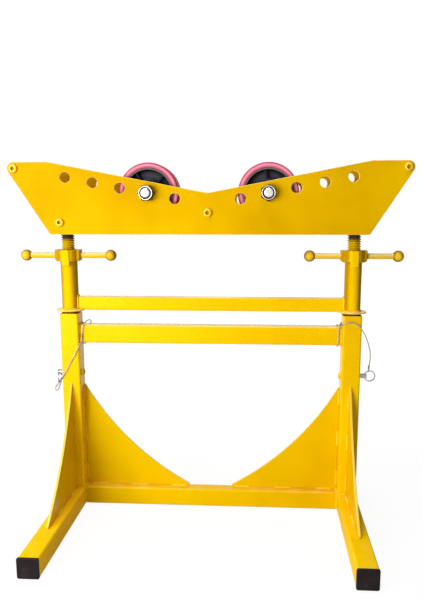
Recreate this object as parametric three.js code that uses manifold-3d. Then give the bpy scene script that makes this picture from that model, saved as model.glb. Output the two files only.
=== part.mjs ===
// Height-adjustable pipe roller stand.
// Millimetres, +Z up, +X to the right, +Y to the rear. The origin is on the floor, under the stand's middle.
import * as THREE from 'three';
import { mergeVertices } from 'three/addons/utils/BufferGeometryUtils.js';
import Module from 'manifold-3d';

const wasm = await Module();
wasm.setup();

// Clearances
const FIT_GAP = 0.3;
const SCREW_CLEARANCE = 0.7;
const SLIDE_CLEARANCE = 0.3;
const PIN_CLEARANCE = 0.5;
const HANDLE_TURN_GAP = 0.5;

// Stock sizes: each tube fits round the one inside it, from the jack screw outwards
const SCREW_DIAMETER = 28;
const TUBE_WALL = 3;
const BOX_WALL = 2;
const BOX_CORNER = 4;
const PLATE_THICKNESS = 6;
const GUSSET_THICKNESS = 5;
const TUBE_DIAMETER = SCREW_DIAMETER + 2 * (SCREW_CLEARANCE + TUBE_WALL);
const BOX_SIDE = TUBE_DIAMETER + 2 * (SLIDE_CLEARANCE + BOX_WALL);

// Base frame
const POST_SPACING = 605;
const POST_LENGTH = 397.5;
const RAIL_LENGTH = 640;
const BEAM_DEPTH = 30;
const TOP_BEAM_DROP = 25;
const CAP_HEAD = 4;
const CAP_OVERHANG = 0.8;
const CAP_PLUG_LENGTH = 18;
const SIDE_GUSSET_HEIGHT = 234.5;
const SIDE_GUSSET_REACH = 234;
const RAIL_GUSSET_HEIGHT = 244;
const RAIL_GUSSET_REACH = 195;
const GUSSET_ARC_RADIUS = 605;
const GUSSET_TOE = 5;
const GUSSET_TIP = 2;

// Inner frame
const TUBE_LENGTH = 419;
const TUBE_RISE = 111.5;
const CROSSBAR_HEIGHT = 30;
const CROSSBAR_DEPTH = 20;
const CROSSBAR_FRONT = -5;
const CROSSBAR_LIFT = 0.7;
const FLANGE_DIAMETER = 62;
const FLANGE_THICKNESS = 3.2;
const COLLAR_HEIGHT = 5.5;

// Locking pins
const PIN_DIAMETER = 10;
const PIN_DROP = 132.5;
const PIN_HOLE_PITCH = 50;
const PIN_HOLE_COUNT = 4;
const PIN_EYE_REACH = 11.5;
const PIN_EYE_MARGIN = 4.5;
const PIN_TIP_SETBACK = 0.6;
const PIN_TIP_CHAMFER = 1;
const BOSS_DIAMETER = 16;
const BOSS_HEIGHT = 4;
const RING_DIAMETER = 25;
const RING_WIRE = 2.6;
const LANYARD_DIAMETER = 2.4;
const LANYARD_LOOSENESS = 0.9;
const LANYARD_END_GAP = 0.6;

// Jack nuts and handles
const NUT_HEIGHT = 25;
const NUT_BARREL_WALL = 9.5;
const LUG_REACH = 27;
const LUG_WIDTH = 24;
const LUG_CORNER = 6;
const TAB_WIDTH = 16;
const TAB_DROP = 9;
const TAB_THICKNESS = 8;
const HANDLE_REACH = 91.5;
const HANDLE_DIAMETER = 12;
const HANDLE_SEAT = 8;
const BALL_DIAMETER = 24;

// Head
const SCREW_LENGTH = 280;
const SCREW_EXPOSED = 32.5;
const PLATE_GAP = 66;
const HEAD_HALF_BASE = 328;
const HEAD_CORNER = 6;
const SHOULDER_HALF = 328;
const TIE_HALF_SPACING = 398.5;
const TIE_HEIGHT = 133;
const LOBE_RADIUS = 13;
const V_HEIGHT = 83.5;
const V_FILLET = 30;
const CENTRE_TIE_HEIGHT = 44;
const TIE_DIAMETER = 16;
const BLOCK_WIDTH = 44;
const BLOCK_HEIGHT = 40;
const BLOCK_LIFT = 2.5;
const BLOCK_CROWN = 10;
const BLOCK_SCREW_HEIGHT = 22;
const BLOCK_SCREW_OFFSET = 4;
const BUTTON_SHANK = 10;
const BUTTON_HEAD = 18;
const BUTTON_HEIGHT = 5.5;
const BUTTON_EDGE = 1.5;
const BUTTON_CROWN = 10;
const BUTTON_SOCKET = 6;
const BUTTON_SOCKET_DEPTH = 3;
const TIE_SCREW_GRIP = 24;
const BLOCK_SCREW_GRIP = 14;

// Rollers and axles
const HOLE_DIAMETER = 22;
const HOLE_FIRST = 67;
const HOLE_PITCH = 56.35;
const HOLE_COUNT = 5;
const HOLE_DROP = 24;
const AXLE_HOLE = 1;
const ROLLER_DIAMETER = 125;
const ROLLER_WIDTH = 50;
const TYRE_THICKNESS = 11.5;
const TYRE_EDGE = 3;
const RIM_THICKNESS = 3;
const WEB_THICKNESS = 16;
const HUB_WALL = 8;
const RIB_COUNT = 5;
const RIB_LEAN_DEGREES = { left: 40, right: -8 };
const RIB_THICKNESS = 4;
const RIB_RECESS = 5;
const BUSH_WALL = 5;
const SLEEVE_WALL = 4.5;
const AXLE_DIAMETER = 20;
const AXLE_END = 5;
const HEX_ACROSS_FLATS = 30;
const AXLE_HEAD_HEIGHT = 12.5;
const LOCK_NUT_HEIGHT = 20;

// Facets
const CORNER_STEPS = 1;
const HOLE_SIDES = 16;
const OUTLINE_STEPS = 3;
const ARC_STEPS = 6;
const TURN_SIDES = 20;
const ROLLER_SIDES = 28;
const SMALL_SIDES = 12;
const HEX_SIDES = 6;
const RING_STEPS = 16;
const RING_SECTION_SIDES = 8;
const CORD_SIDES = 8;
const CORD_STEP_DIAMETERS = 2.5;
const BALL_STEPS = 6;
const DOME_STEPS = 3;
const OVERRUN = 1;

// Places worked out from the sizes above
const HALF_SPACING = POST_SPACING / 2;
const HALF_BOX = BOX_SIDE / 2;
const TUBE_RADIUS = TUBE_DIAMETER / 2;
const RAIL_TOP = BOX_SIDE;
const POST_TOP = RAIL_TOP + POST_LENGTH;
const POST_INNER_FACE = HALF_SPACING - HALF_BOX;
const POST_OUTER_FACE = HALF_SPACING + HALF_BOX;
const BEAM_BACK = HALF_BOX;
const BEAM_FRONT = BEAM_BACK - BEAM_DEPTH;
const TOP_BEAM_TOP = POST_TOP - TOP_BEAM_DROP;
const SIDE_GUSSET_BACK = HALF_BOX - BOX_CORNER;
const FLANGE_UNDERSIDE = POST_TOP + COLLAR_HEIGHT;
const FLANGE_TOP = FLANGE_UNDERSIDE + FLANGE_THICKNESS;
const TUBE_TOP = POST_TOP + TUBE_RISE;
const TUBE_BOTTOM = TUBE_TOP - TUBE_LENGTH;
const CROSSBAR_BOTTOM = FLANGE_UNDERSIDE + CROSSBAR_LIFT;
const CROSSBAR_TOP = CROSSBAR_BOTTOM + CROSSBAR_HEIGHT;
const PIN_HEIGHT = POST_TOP - PIN_DROP;
const RING_RADIUS = (RING_DIAMETER - RING_WIRE) / 2;
const NUT_BOTTOM = TUBE_TOP + FIT_GAP;
const NUT_TOP = NUT_BOTTOM + NUT_HEIGHT;
const HANDLE_HEIGHT = NUT_BOTTOM + NUT_HEIGHT / 2;
const HEAD_BOTTOM = NUT_TOP + SCREW_EXPOSED;
const HEAD_SHOULDER = TIE_HEIGHT + LOBE_RADIUS;
const V_SLOPE = (HEAD_SHOULDER - V_HEIGHT) / SHOULDER_HALF;
const PLATE_INNER = PLATE_GAP / 2;
const PLATE_OUTER = PLATE_INNER + PLATE_THICKNESS;
const BLOCK_BOTTOM = HEAD_BOTTOM + BLOCK_LIFT;
const BLOCK_TOP = BLOCK_BOTTOM + BLOCK_HEIGHT;
const SCREW_TOP = BLOCK_TOP - BLOCK_CROWN;
const SLEEVE_BORE = AXLE_DIAMETER / 2 + FIT_GAP;
const SLEEVE_RADIUS = SLEEVE_BORE + SLEEVE_WALL;
const BUSH_BORE = SLEEVE_RADIUS + FIT_GAP;
const BUSH_RADIUS = BUSH_BORE + BUSH_WALL;
const CORE_BORE = BUSH_RADIUS + FIT_GAP;
const HUB_RADIUS = CORE_BORE + HUB_WALL;
const ROLLER_RADIUS = ROLLER_DIAMETER / 2;
const TYRE_BORE = ROLLER_RADIUS - TYRE_THICKNESS;
const CORE_RADIUS = TYRE_BORE - FIT_GAP;
const HUB_LENGTH = PLATE_GAP - 2 * FIT_GAP;

const SIDES = { left: -1, right: 1 };

const YELLOW_PAINT = { color: 0xf0c000, roughness: 0.3, metalness: 0 };
const ZINC = { color: 0xc8c8cc, roughness: 0.3, metalness: 1 };
const SCREW_STEEL = { color: 0x8f8a80, roughness: 0.4, metalness: 1 };
const POLYURETHANE = { color: 0xe8708f, roughness: 0.45, metalness: 0 };
const CORE_PLASTIC = { color: 0x34343c, roughness: 0.5, metalness: 0 };
const CAP_PLASTIC = { color: 0x241f20, roughness: 0.45, metalness: 0 };
const BRONZE = { color: 0xb08d4a, roughness: 0.4, metalness: 1 };
const WIRE_ROPE = { color: 0x9a9a9c, roughness: 0.4, metalness: 1 };

const stand = new THREE.Group();

function addPiece(name, geometry, finish, place = [0, 0, 0]) {
  const mesh = new THREE.Mesh(geometry, new THREE.MeshStandardMaterial(finish));
  mesh.name = name;
  mesh.position.set(...place);
  stand.add(mesh);
}

// Solids: joins and cuts of closed meshes
function trianglesOf(geometry) {
  const bare = geometry.clone();
  bare.deleteAttribute('normal');
  bare.deleteAttribute('uv');
  const merged = mergeVertices(bare);
  const index = merged.index.array;
  const triangles = [];
  for (let i = 0; i < index.length; i += 3) {
    const [a, b, c] = [index[i], index[i + 1], index[i + 2]];
    if (a !== b && b !== c && c !== a) {
      triangles.push(a, b, c);
    }
  }
  return { positions: merged.attributes.position.array, triangles };
}

function solidOf(geometry) {
  const { positions, triangles } = trianglesOf(geometry);
  const mesh = new wasm.Mesh({
    numProp: 3,
    vertProperties: new Float32Array(positions),
    triVerts: new Uint32Array(triangles),
  });
  return new wasm.Manifold(mesh);
}

function geometryOf(solid) {
  const mesh = solid.getMesh();
  const geometry = new THREE.BufferGeometry();
  geometry.setAttribute('position', new THREE.BufferAttribute(mesh.vertProperties, mesh.numProp));
  geometry.setIndex(new THREE.BufferAttribute(mesh.triVerts, 1));
  geometry.computeVertexNormals();
  return geometry;
}

function joined(...geometries) {
  return geometryOf(geometries.map(solidOf).reduce((whole, piece) => whole.add(piece)));
}

function cut(body, ...tools) {
  return geometryOf(tools.map(solidOf).reduce((whole, tool) => whole.subtract(tool), solidOf(body)));
}

// Forms: prisms along each axis, rods, turned pieces
function ordered(one, other) {
  return [Math.min(one, other), Math.max(one, other)];
}

function alongZ(shape, from, to, curveSegments = CORNER_STEPS) {
  const options = { depth: to - from, bevelEnabled: false, curveSegments };
  return new THREE.ExtrudeGeometry(shape, options).translate(0, 0, from);
}

function alongY(shape, from, to, curveSegments = CORNER_STEPS) {
  return alongZ(shape, -to, -from, curveSegments).rotateX(Math.PI / 2);
}

function alongX(shape, from, to, curveSegments = CORNER_STEPS) {
  return alongZ(shape, from, to, curveSegments).rotateX(Math.PI / 2).rotateZ(Math.PI / 2);
}

function rodZ(radius, from, to, sides = TURN_SIDES) {
  const rod = new THREE.CylinderGeometry(radius, radius, to - from, sides).rotateX(Math.PI / 2);
  return rod.translate(0, 0, (from + to) / 2);
}

function rodY(radius, from, to, sides = TURN_SIDES) {
  return new THREE.CylinderGeometry(radius, radius, to - from, sides).translate(0, (from + to) / 2, 0);
}

function rodX(radius, from, to, sides = TURN_SIDES) {
  return rodZ(radius, from, to, sides).rotateY(Math.PI / 2);
}

function turned(profile, sides = TURN_SIDES) {
  const points = profile.map(([radius, along]) => new THREE.Vector2(radius, along));
  return geometryOf(solidOf(new THREE.LatheGeometry(points, sides)));
}

function turnedRing(profile, sides = TURN_SIDES) {
  return turned([...profile, profile[0]], sides);
}

function sleeve(bore, radius, length, sides = TURN_SIDES) {
  const half = length / 2;
  return turnedRing([[bore, -half], [radius, -half], [radius, half], [bore, half]], sides);
}

function roundedRectangle(PathClass, left, bottom, right, top, radius) {
  const outline = new PathClass();
  outline.absarc(right - radius, bottom + radius, radius, -Math.PI / 2, 0);
  outline.absarc(right - radius, top - radius, radius, 0, Math.PI / 2);
  outline.absarc(left + radius, top - radius, radius, Math.PI / 2, Math.PI);
  outline.absarc(left + radius, bottom + radius, radius, Math.PI, Math.PI * 3 / 2);
  outline.closePath();
  return outline;
}

function tubeSection(left, bottom, right, top) {
  const inset = BOX_WALL;
  const outer = roundedRectangle(THREE.Shape, left, bottom, right, top, BOX_CORNER);
  const bore = [left + inset, bottom + inset, right - inset, top - inset];
  outer.holes.push(roundedRectangle(THREE.Path, ...bore, Math.max(BOX_CORNER - inset, inset / 2)));
  return outer;
}

function hexagon(acrossFlats) {
  const radius = acrossFlats / 2 / Math.cos(Math.PI / HEX_SIDES);
  const corners = Array.from({ length: HEX_SIDES }, (_, i) => (2 * i * Math.PI) / HEX_SIDES);
  return new THREE.Shape(corners.map((a) => new THREE.Vector2(radius * Math.cos(a), radius * Math.sin(a))));
}

// Base frame
function addBase() {
  const rail = alongY(tubeSection(-HALF_BOX, 0, HALF_BOX, BOX_SIDE), -RAIL_LENGTH / 2, RAIL_LENGTH / 2);
  const baseBeam = tubeSection(BEAM_FRONT, 0, BEAM_BACK, BOX_SIDE);
  const topBeam = tubeSection(BEAM_FRONT, TOP_BEAM_TOP - BOX_SIDE, BEAM_BACK, TOP_BEAM_TOP);
  addPiece('base_beam', alongX(baseBeam, -POST_INNER_FACE, POST_INNER_FACE), YELLOW_PAINT);
  addPiece('top_beam', alongX(topBeam, -POST_INNER_FACE, POST_INNER_FACE), YELLOW_PAINT);
  for (const [name, side] of Object.entries(SIDES)) {
    const place = [side * HALF_SPACING, 0, 0];
    addPiece(`foot_rail_${name}`, rail, YELLOW_PAINT, place);
    addPiece(`foot_cap_front_${name}`, footCap(-1), CAP_PLASTIC, place);
    addPiece(`foot_cap_rear_${name}`, footCap(1), CAP_PLASTIC, place);
    addPiece(`post_${name}`, post(side), YELLOW_PAINT, place);
    addPiece(`side_gusset_${name}`, sideGusset(side), YELLOW_PAINT);
    addPiece(`front_gusset_${name}`, railGusset(-1), YELLOW_PAINT, place);
    addPiece(`rear_gusset_${name}`, railGusset(1), YELLOW_PAINT, place);
  }
}

function footCap(end) {
  const edge = HALF_BOX + CAP_OVERHANG;
  const head = roundedRectangle(THREE.Shape, -edge, 0, edge, BOX_SIDE + CAP_OVERHANG, BOX_CORNER);
  const inset = BOX_WALL + FIT_GAP;
  const plug = [inset - HALF_BOX, inset, HALF_BOX - inset, BOX_SIDE - inset];
  const face = RAIL_LENGTH / 2;
  const headRange = ordered(end * face, end * (face + CAP_HEAD));
  const plugRange = ordered(end * (face - CAP_PLUG_LENGTH), end * (face + CAP_HEAD / 2));
  const plugShape = roundedRectangle(THREE.Shape, ...plug, BOX_CORNER);
  return joined(alongY(head, ...headRange), alongY(plugShape, ...plugRange));
}

// A square tube with the cross hole for the pin, and a boss round the hole on the inner face
function post(side) {
  const tube = alongZ(tubeSection(-HALF_BOX, -HALF_BOX, HALF_BOX, HALF_BOX), RAIL_TOP, POST_TOP);
  const bossRange = ordered(-side * (HALF_BOX - BOX_WALL / 2), -side * (HALF_BOX + BOSS_HEIGHT));
  const boss = rodX(BOSS_DIAMETER / 2, ...bossRange, SMALL_SIDES).translate(0, 0, PIN_HEIGHT);
  const hole = pinHole(HALF_BOX + BOSS_HEIGHT + OVERRUN).translate(0, 0, PIN_HEIGHT);
  return cut(joined(tube, boss), hole);
}

function pinHole(reach) {
  return rodX(PIN_DIAMETER / 2 + PIN_CLEARANCE, -reach, reach, SMALL_SIDES);
}

// A plate with an edge along the post and an edge on the rail or beam, and a hollow arc between its toes
function gussetShape(direction, edge, reach, height) {
  const along = (distance) => edge + direction * distance;
  const low = new THREE.Vector2(along(reach), RAIL_TOP + GUSSET_TOE);
  const high = new THREE.Vector2(along(GUSSET_TIP), RAIL_TOP + height);
  const shape = new THREE.Shape();
  const chord = high.clone().sub(low);
  const middle = low.clone().add(high).multiplyScalar(1 / 2);
  const inward = new THREE.Vector2(-chord.y, chord.x).normalize().multiplyScalar(direction);
  const apothem = Math.sqrt(GUSSET_ARC_RADIUS ** 2 - (chord.length() / 2) ** 2);
  const centre = middle.clone().addScaledVector(inward, -apothem);
  const start = low.clone().sub(centre).angle();
  const end = high.clone().sub(centre).angle();
  shape.moveTo(along(0), RAIL_TOP);
  shape.lineTo(along(reach), RAIL_TOP);
  shape.lineTo(low.x, low.y);
  shape.absarc(centre.x, centre.y, GUSSET_ARC_RADIUS, start, end, direction > 0);
  shape.lineTo(along(0), RAIL_TOP + height);
  shape.closePath();
  return shape;
}

function sideGusset(side) {
  const shape = gussetShape(-side, side * POST_INNER_FACE, SIDE_GUSSET_REACH, SIDE_GUSSET_HEIGHT);
  return alongY(shape, SIDE_GUSSET_BACK - GUSSET_THICKNESS, SIDE_GUSSET_BACK, ARC_STEPS);
}

function railGusset(end) {
  const shape = gussetShape(end, end * HALF_BOX, RAIL_GUSSET_REACH, RAIL_GUSSET_HEIGHT);
  return alongX(shape, -GUSSET_THICKNESS / 2, GUSSET_THICKNESS / 2, ARC_STEPS);
}

// Inner frame
function addInnerFrame() {
  addPiece('inner_crossbar', innerCrossbar(), YELLOW_PAINT);
  for (const [name, side] of Object.entries(SIDES)) {
    const place = [side * HALF_SPACING, 0, 0];
    addPiece(`inner_tube_${name}`, innerTube(), YELLOW_PAINT, place);
    addPiece(`flange_${name}`, flange(), YELLOW_PAINT, place);
  }
}

function innerTube() {
  const tube = sleeve(TUBE_RADIUS - TUBE_WALL, TUBE_RADIUS, TUBE_LENGTH);
  tube.rotateX(Math.PI / 2).translate(0, 0, (TUBE_TOP + TUBE_BOTTOM) / 2);
  const levels = Array.from({ length: PIN_HOLE_COUNT }, (_, i) => PIN_HEIGHT - i * PIN_HOLE_PITCH);
  return cut(tube, ...levels.map((level) => pinHole(TUBE_RADIUS + OVERRUN).translate(0, 0, level)));
}

function flange() {
  const bore = TUBE_RADIUS + FIT_GAP;
  const profile = [
    [bore, POST_TOP],
    [HALF_BOX, POST_TOP],
    [HALF_BOX, FLANGE_UNDERSIDE],
    [FLANGE_DIAMETER / 2, FLANGE_UNDERSIDE],
    [FLANGE_DIAMETER / 2, FLANGE_TOP],
    [bore, FLANGE_TOP],
  ];
  return turnedRing(profile).rotateX(Math.PI / 2);
}

// A square tube saddled to the round tubes, and notched underneath over the flanges
function innerCrossbar() {
  const back = CROSSBAR_FRONT + CROSSBAR_DEPTH;
  const section = tubeSection(CROSSBAR_FRONT, CROSSBAR_BOTTOM, back, CROSSBAR_TOP);
  const bar = alongX(section, -HALF_SPACING, HALF_SPACING);
  const saddle = rodZ(TUBE_RADIUS + FIT_GAP, CROSSBAR_BOTTOM - OVERRUN, CROSSBAR_TOP + OVERRUN);
  const notch = rodZ(FLANGE_DIAMETER / 2 + FIT_GAP, CROSSBAR_BOTTOM - OVERRUN, FLANGE_TOP + FIT_GAP);
  const ends = Object.values(SIDES).map((side) => joined(saddle, notch).translate(side * HALF_SPACING, 0, 0));
  return cut(bar, ...ends);
}

// Locking pins with their rings and lanyards
function addPins() {
  const reach = POST_OUTER_FACE + PIN_EYE_REACH;
  const rightRing = splitRing().rotateX(Math.PI / 2);
  const leftRing = splitRing().rotateY(Math.PI / 2);
  addPiece('locking_pin_left', lockingPin(-1, 'y'), ZINC);
  addPiece('locking_pin_right', lockingPin(1, 'z'), ZINC);
  addPiece('pin_ring_left', leftRing, ZINC, [-reach, 0, PIN_HEIGHT - RING_RADIUS]);
  addPiece('pin_ring_right', rightRing, ZINC, [reach + RING_RADIUS, 0, PIN_HEIGHT]);
  addPiece('lanyard_left', cord(leftLanyardRoute()), WIRE_ROPE);
  addPiece('lanyard_right', cord(rightLanyardRoute()), WIRE_ROPE);
}

// At rest the tip lies inside the outer wall, clear of the inner tube. The eye leaves room for the ring.
function lockingPin(side, eyeAxis) {
  const radius = PIN_DIAMETER / 2;
  const tip = HALF_SPACING + TUBE_RADIUS + PIN_TIP_SETBACK;
  const eye = POST_OUTER_FACE + PIN_EYE_REACH;
  const end = eye + PIN_EYE_MARGIN;
  const profile = [
    [0, tip],
    [radius - PIN_TIP_CHAMFER, tip],
    [radius, tip + PIN_TIP_CHAMFER],
    [radius, end - PIN_TIP_CHAMFER],
    [radius - PIN_TIP_CHAMFER, end],
    [0, end],
  ];
  const pin = turned(profile, SMALL_SIDES).rotateZ(-side * Math.PI / 2).translate(0, 0, PIN_HEIGHT);
  const sag = RING_RADIUS - Math.sqrt(RING_RADIUS ** 2 - radius ** 2);
  const bore = (RING_WIRE + sag) / 2 + FIT_GAP;
  const drill = eyeAxis === 'y' ? rodY : rodZ;
  const [outward, down] = eyeAxis === 'y' ? [0, sag / 2] : [sag / 2, 0];
  const hole = drill(bore, -radius - OVERRUN, radius + OVERRUN, SMALL_SIDES);
  return cut(pin, hole.translate(side * (eye + outward), 0, PIN_HEIGHT - down));
}

function splitRing() {
  return new THREE.TorusGeometry(RING_RADIUS, RING_WIRE / 2, RING_SECTION_SIDES, RING_STEPS);
}

function cord(route) {
  const path = new THREE.CatmullRomCurve3(route.map((point) => new THREE.Vector3(...point)));
  const section = new THREE.Shape();
  section.absarc(0, 0, LANYARD_DIAMETER / 2, 0, 2 * Math.PI);
  const steps = Math.round(path.getLength() / (CORD_STEP_DIAMETERS * LANYARD_DIAMETER));
  return new THREE.ExtrudeGeometry(section, { steps, extrudePath: path, curveSegments: CORD_SIDES / 2 });
}

// One loose turn over the top beam from its front edge, down its back and under it to its front face
function beamTurn(start, end) {
  const gap = LANYARD_DIAMETER / 2 + LANYARD_LOOSENESS;
  const bend = BOX_CORNER + gap;
  const corner = bend * (1 - Math.SQRT1_2);
  const [front, back] = [BEAM_FRONT - gap, BEAM_BACK + gap];
  const [top, bottom] = [TOP_BEAM_TOP + gap, TOP_BEAM_TOP - BOX_SIDE - gap];
  const turn = [
    [front + bend, top],
    [back - bend, top],
    [back - corner, top - corner],
    [back, top - bend],
    [back, bottom + bend],
    [back - corner, bottom + corner],
    [back - bend, bottom],
    [front + bend, bottom],
    [front + corner, bottom + corner],
    [front, bottom + bend],
  ];
  return turn.map(([y, z], i) => [start + ((end - start) * i) / (turn.length - 1), y, z]);
}

// Points beside the beam: inward from the post's inner face, forward of the beam's front, up from its top
function besideBeam(side, points) {
  return points.map(([inward, forward, up]) => [
    side * (POST_INNER_FACE - inward),
    BEAM_FRONT - forward,
    TOP_BEAM_TOP + up,
  ]);
}

// Points beside the post: outward from its axis, forward of its front, share of the rise from pin to beam
function besidePost(side, points) {
  return points.map(([outward, forward, share]) => [
    side * (HALF_SPACING + outward),
    -HALF_BOX - forward,
    PIN_HEIGHT + share * (TOP_BEAM_TOP - PIN_HEIGHT),
  ]);
}

// Points near the cord's end at the ring: outward, forward and up from that end
function besideEnd([x, y, z], side, points) {
  return points.map(([outward, forward, up]) => [x + side * outward, y - forward, z + up]);
}

// Right lanyard: over the post's front and down outside it to the top of the ring
function rightLanyardRoute() {
  const ringCentre = POST_OUTER_FACE + PIN_EYE_REACH + RING_RADIUS;
  const end = [ringCentre - RING_WIRE, 0, PIN_HEIGHT + RING_DIAMETER / 2 + LANYARD_END_GAP];
  return [
    ...besideBeam(1, [[2.8, 4.6, 10.2], [5.4, 0.6, 5.6]]),
    ...beamTurn(POST_INNER_FACE - 8.6, POST_INNER_FACE - 8.4),
    ...besideBeam(1, [[7.9, 2, -19], [7.2, 2.6, -6], [4.3, 6, 3]]),
    ...besidePost(1, [
      [-18.5, 1.9, 1.08],
      [-12.5, 3, 1.105],
      [-5, 3.4, 1.112],
      [3, 3.4, 1.1],
      [10.9, 3.4, 1.058],
      [17.9, 3.2, 0.994],
      [23.9, 2.4, 0.91],
      [29.7, 0.8, 0.8],
      [34.7, -1.6, 0.68],
      [38.6, -4.6, 0.556],
      [40.6, -7.8, 0.435],
    ]),
    ...besideEnd(end, 1, [[0.9, 6.8, 21.5], [0.4, 3.4, 11.5], [0.1, 1, 5], [0, 0, 0]]),
  ];
}

// Left lanyard: a slack bight over the beam, down across the post's front and up to the bottom of the ring
function leftLanyardRoute() {
  const ringCentre = PIN_HEIGHT - RING_RADIUS;
  const ringPlace = -POST_OUTER_FACE - PIN_EYE_REACH;
  const end = [ringPlace - RING_WIRE, 0, ringCentre - RING_DIAMETER / 2 - LANYARD_END_GAP];
  const turn = beamTurn(-POST_INNER_FACE + 17.5, -POST_INNER_FACE + 5.6).reverse();
  return [
    ...besideBeam(-1, [[5.2, 2.1, -19]]),
    ...turn.slice(0, -3),
    ...besideBeam(-1, [
      [17.9, -30.5, 2.2],
      [17.8, -24, 6.8],
      [16.7, -15, 8.4],
      [14.2, -6, 7],
      [10.7, 1.2, 2.6],
      [7.9, 4.2, -4.5],
      [6.4, 5.2, -14],
      [5.6, 5.6, -24],
      [4.8, 6.4, -33],
    ]),
    ...besidePost(-1, [
      [-21.5, 0.4, 0.615],
      [-17.7, 2.7, 0.532],
      [-12.2, 3.3, 0.431],
      [-5.2, 3.4, 0.317],
      [2.3, 3.4, 0.193],
      [9.7, 3.3, 0.069],
      [16.3, 2.6, -0.041],
    ]),
    ...besideEnd(end, -1, [
      [-11.8, 20, 8.6],
      [-7.5, 17.8, -2.9],
      [-2.4, 14.6, -12.4],
      [3.4, 10.4, -16.4],
      [6.6, 6, -13.4],
      [5.4, 2.4, -7.8],
      [2.6, 0.6, -3.6],
      [0, 0, 0],
    ]),
  ];
}

// Jack nuts and handles
function addJackNuts() {
  for (const [name, side] of Object.entries(SIDES)) {
    const place = [side * HALF_SPACING, 0, 0];
    addPiece(`jack_nut_${name}`, jackNut(), YELLOW_PAINT, place);
    addPiece(`handle_outer_${name}`, handle(side), YELLOW_PAINT, place);
    addPiece(`handle_inner_${name}`, handle(-side), YELLOW_PAINT, place);
  }
}

// A barrel with two lugs for the handles, and two tabs that reach down over the tube
function jackNut() {
  const bore = SCREW_DIAMETER / 2 + FIT_GAP;
  const barrel = rodZ(bore + NUT_BARREL_WALL, NUT_BOTTOM, NUT_TOP);
  const lugs = alongY(lugShape(), -LUG_WIDTH / 2, LUG_WIDTH / 2, OUTLINE_STEPS);
  const tabInner = TUBE_RADIUS + HANDLE_TURN_GAP;
  const tabOuter = tabInner + TAB_THICKNESS;
  const tabs = new THREE.BoxGeometry(TAB_WIDTH, 2 * tabOuter, NUT_HEIGHT + TAB_DROP);
  tabs.translate(0, 0, (NUT_TOP + NUT_BOTTOM - TAB_DROP) / 2);
  const tubeRoom = rodZ(tabInner, NUT_BOTTOM - TAB_DROP - OVERRUN, NUT_BOTTOM);
  const thread = rodZ(bore, NUT_BOTTOM - OVERRUN, NUT_TOP + OVERRUN);
  const seats = Object.values(SIDES).map((side) => handleSeat(side));
  return cut(joined(barrel, lugs, tabs), tubeRoom, thread, ...seats);
}

function lugShape() {
  const shape = new THREE.Shape();
  shape.moveTo(-LUG_REACH, NUT_TOP);
  shape.absarc(LUG_CORNER - LUG_REACH, NUT_BOTTOM + LUG_CORNER, LUG_CORNER, Math.PI, Math.PI * 3 / 2);
  shape.absarc(LUG_REACH - LUG_CORNER, NUT_BOTTOM + LUG_CORNER, LUG_CORNER, -Math.PI / 2, 0);
  shape.lineTo(LUG_REACH, NUT_TOP);
  shape.closePath();
  return shape;
}

function handleSeat(side) {
  const range = ordered(side * (LUG_REACH - HANDLE_SEAT), side * (LUG_REACH + OVERRUN));
  return rodX(HANDLE_DIAMETER / 2 + FIT_GAP, ...range, SMALL_SIDES).translate(0, 0, HANDLE_HEIGHT);
}

// A bar with a ball at its end, standing in the lug
function handle(side) {
  const radius = HANDLE_DIAMETER / 2;
  const ball = BALL_DIAMETER / 2;
  const start = Math.asin(radius / ball);
  const arc = Array.from({ length: BALL_STEPS + 1 }, (_, i) => {
    const angle = Math.PI - start - ((Math.PI - start) * i) / BALL_STEPS;
    return [i === BALL_STEPS ? 0 : ball * Math.sin(angle), HANDLE_REACH + ball * Math.cos(angle)];
  });
  const foot = LUG_REACH - HANDLE_SEAT + FIT_GAP;
  const profile = [[0, foot], [radius, foot], ...arc];
  return turned(profile, SMALL_SIDES).rotateZ(-side * Math.PI / 2).translate(0, 0, HANDLE_HEIGHT);
}

// Head
function addHead() {
  const axle = axlePlace();
  addPiece('head_plate_front', headPlate(-PLATE_OUTER, frontScrewPlaces()), YELLOW_PAINT);
  addPiece('head_plate_rear', headPlate(PLATE_INNER, rearScrewPlaces()), YELLOW_PAINT);
  addPiece('tie_rod_centre', tieRod(), YELLOW_PAINT, tiePlace(0));
  addPiece('tie_screw_centre', buttonScrew(TIE_SCREW_GRIP, -1), YELLOW_PAINT, tiePlace(0));
  for (const [name, side] of Object.entries(SIDES)) {
    const place = [side * HALF_SPACING, 0, 0];
    addPiece(`jack_screw_${name}`, jackScrew(), SCREW_STEEL, place);
    addPiece(`screw_block_${name}`, screwBlock(side), YELLOW_PAINT, place);
    addPiece(`block_screw_${name}`, buttonScrew(BLOCK_SCREW_GRIP, side), YELLOW_PAINT, blockScrewPlace(side));
    addPiece(`tie_rod_${name}`, tieRod(), YELLOW_PAINT, tiePlace(side));
    addPiece(`tie_screw_${name}`, buttonScrew(TIE_SCREW_GRIP, -1), YELLOW_PAINT, tiePlace(side));
    addPiece(`axle_sleeve_${name}`, sleeve(SLEEVE_BORE, SLEEVE_RADIUS, PLATE_GAP), ZINC, axle(side));
    addPiece(`axle_bolt_${name}`, axleBolt(), ZINC, axle(side));
    addPiece(`axle_nut_${name}`, axleNut(side), ZINC, axle(side));
  }
}

function jackScrew() {
  return rodZ(SCREW_DIAMETER / 2, SCREW_TOP - SCREW_LENGTH, SCREW_TOP);
}

function tiePlace(side) {
  const height = side === 0 ? CENTRE_TIE_HEIGHT : TIE_HEIGHT;
  return [side * TIE_HALF_SPACING, 0, HEAD_BOTTOM + height];
}

function blockScrewPlace(side) {
  return [side * (HALF_SPACING + BLOCK_SCREW_OFFSET), 0, BLOCK_BOTTOM + BLOCK_SCREW_HEIGHT];
}

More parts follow.
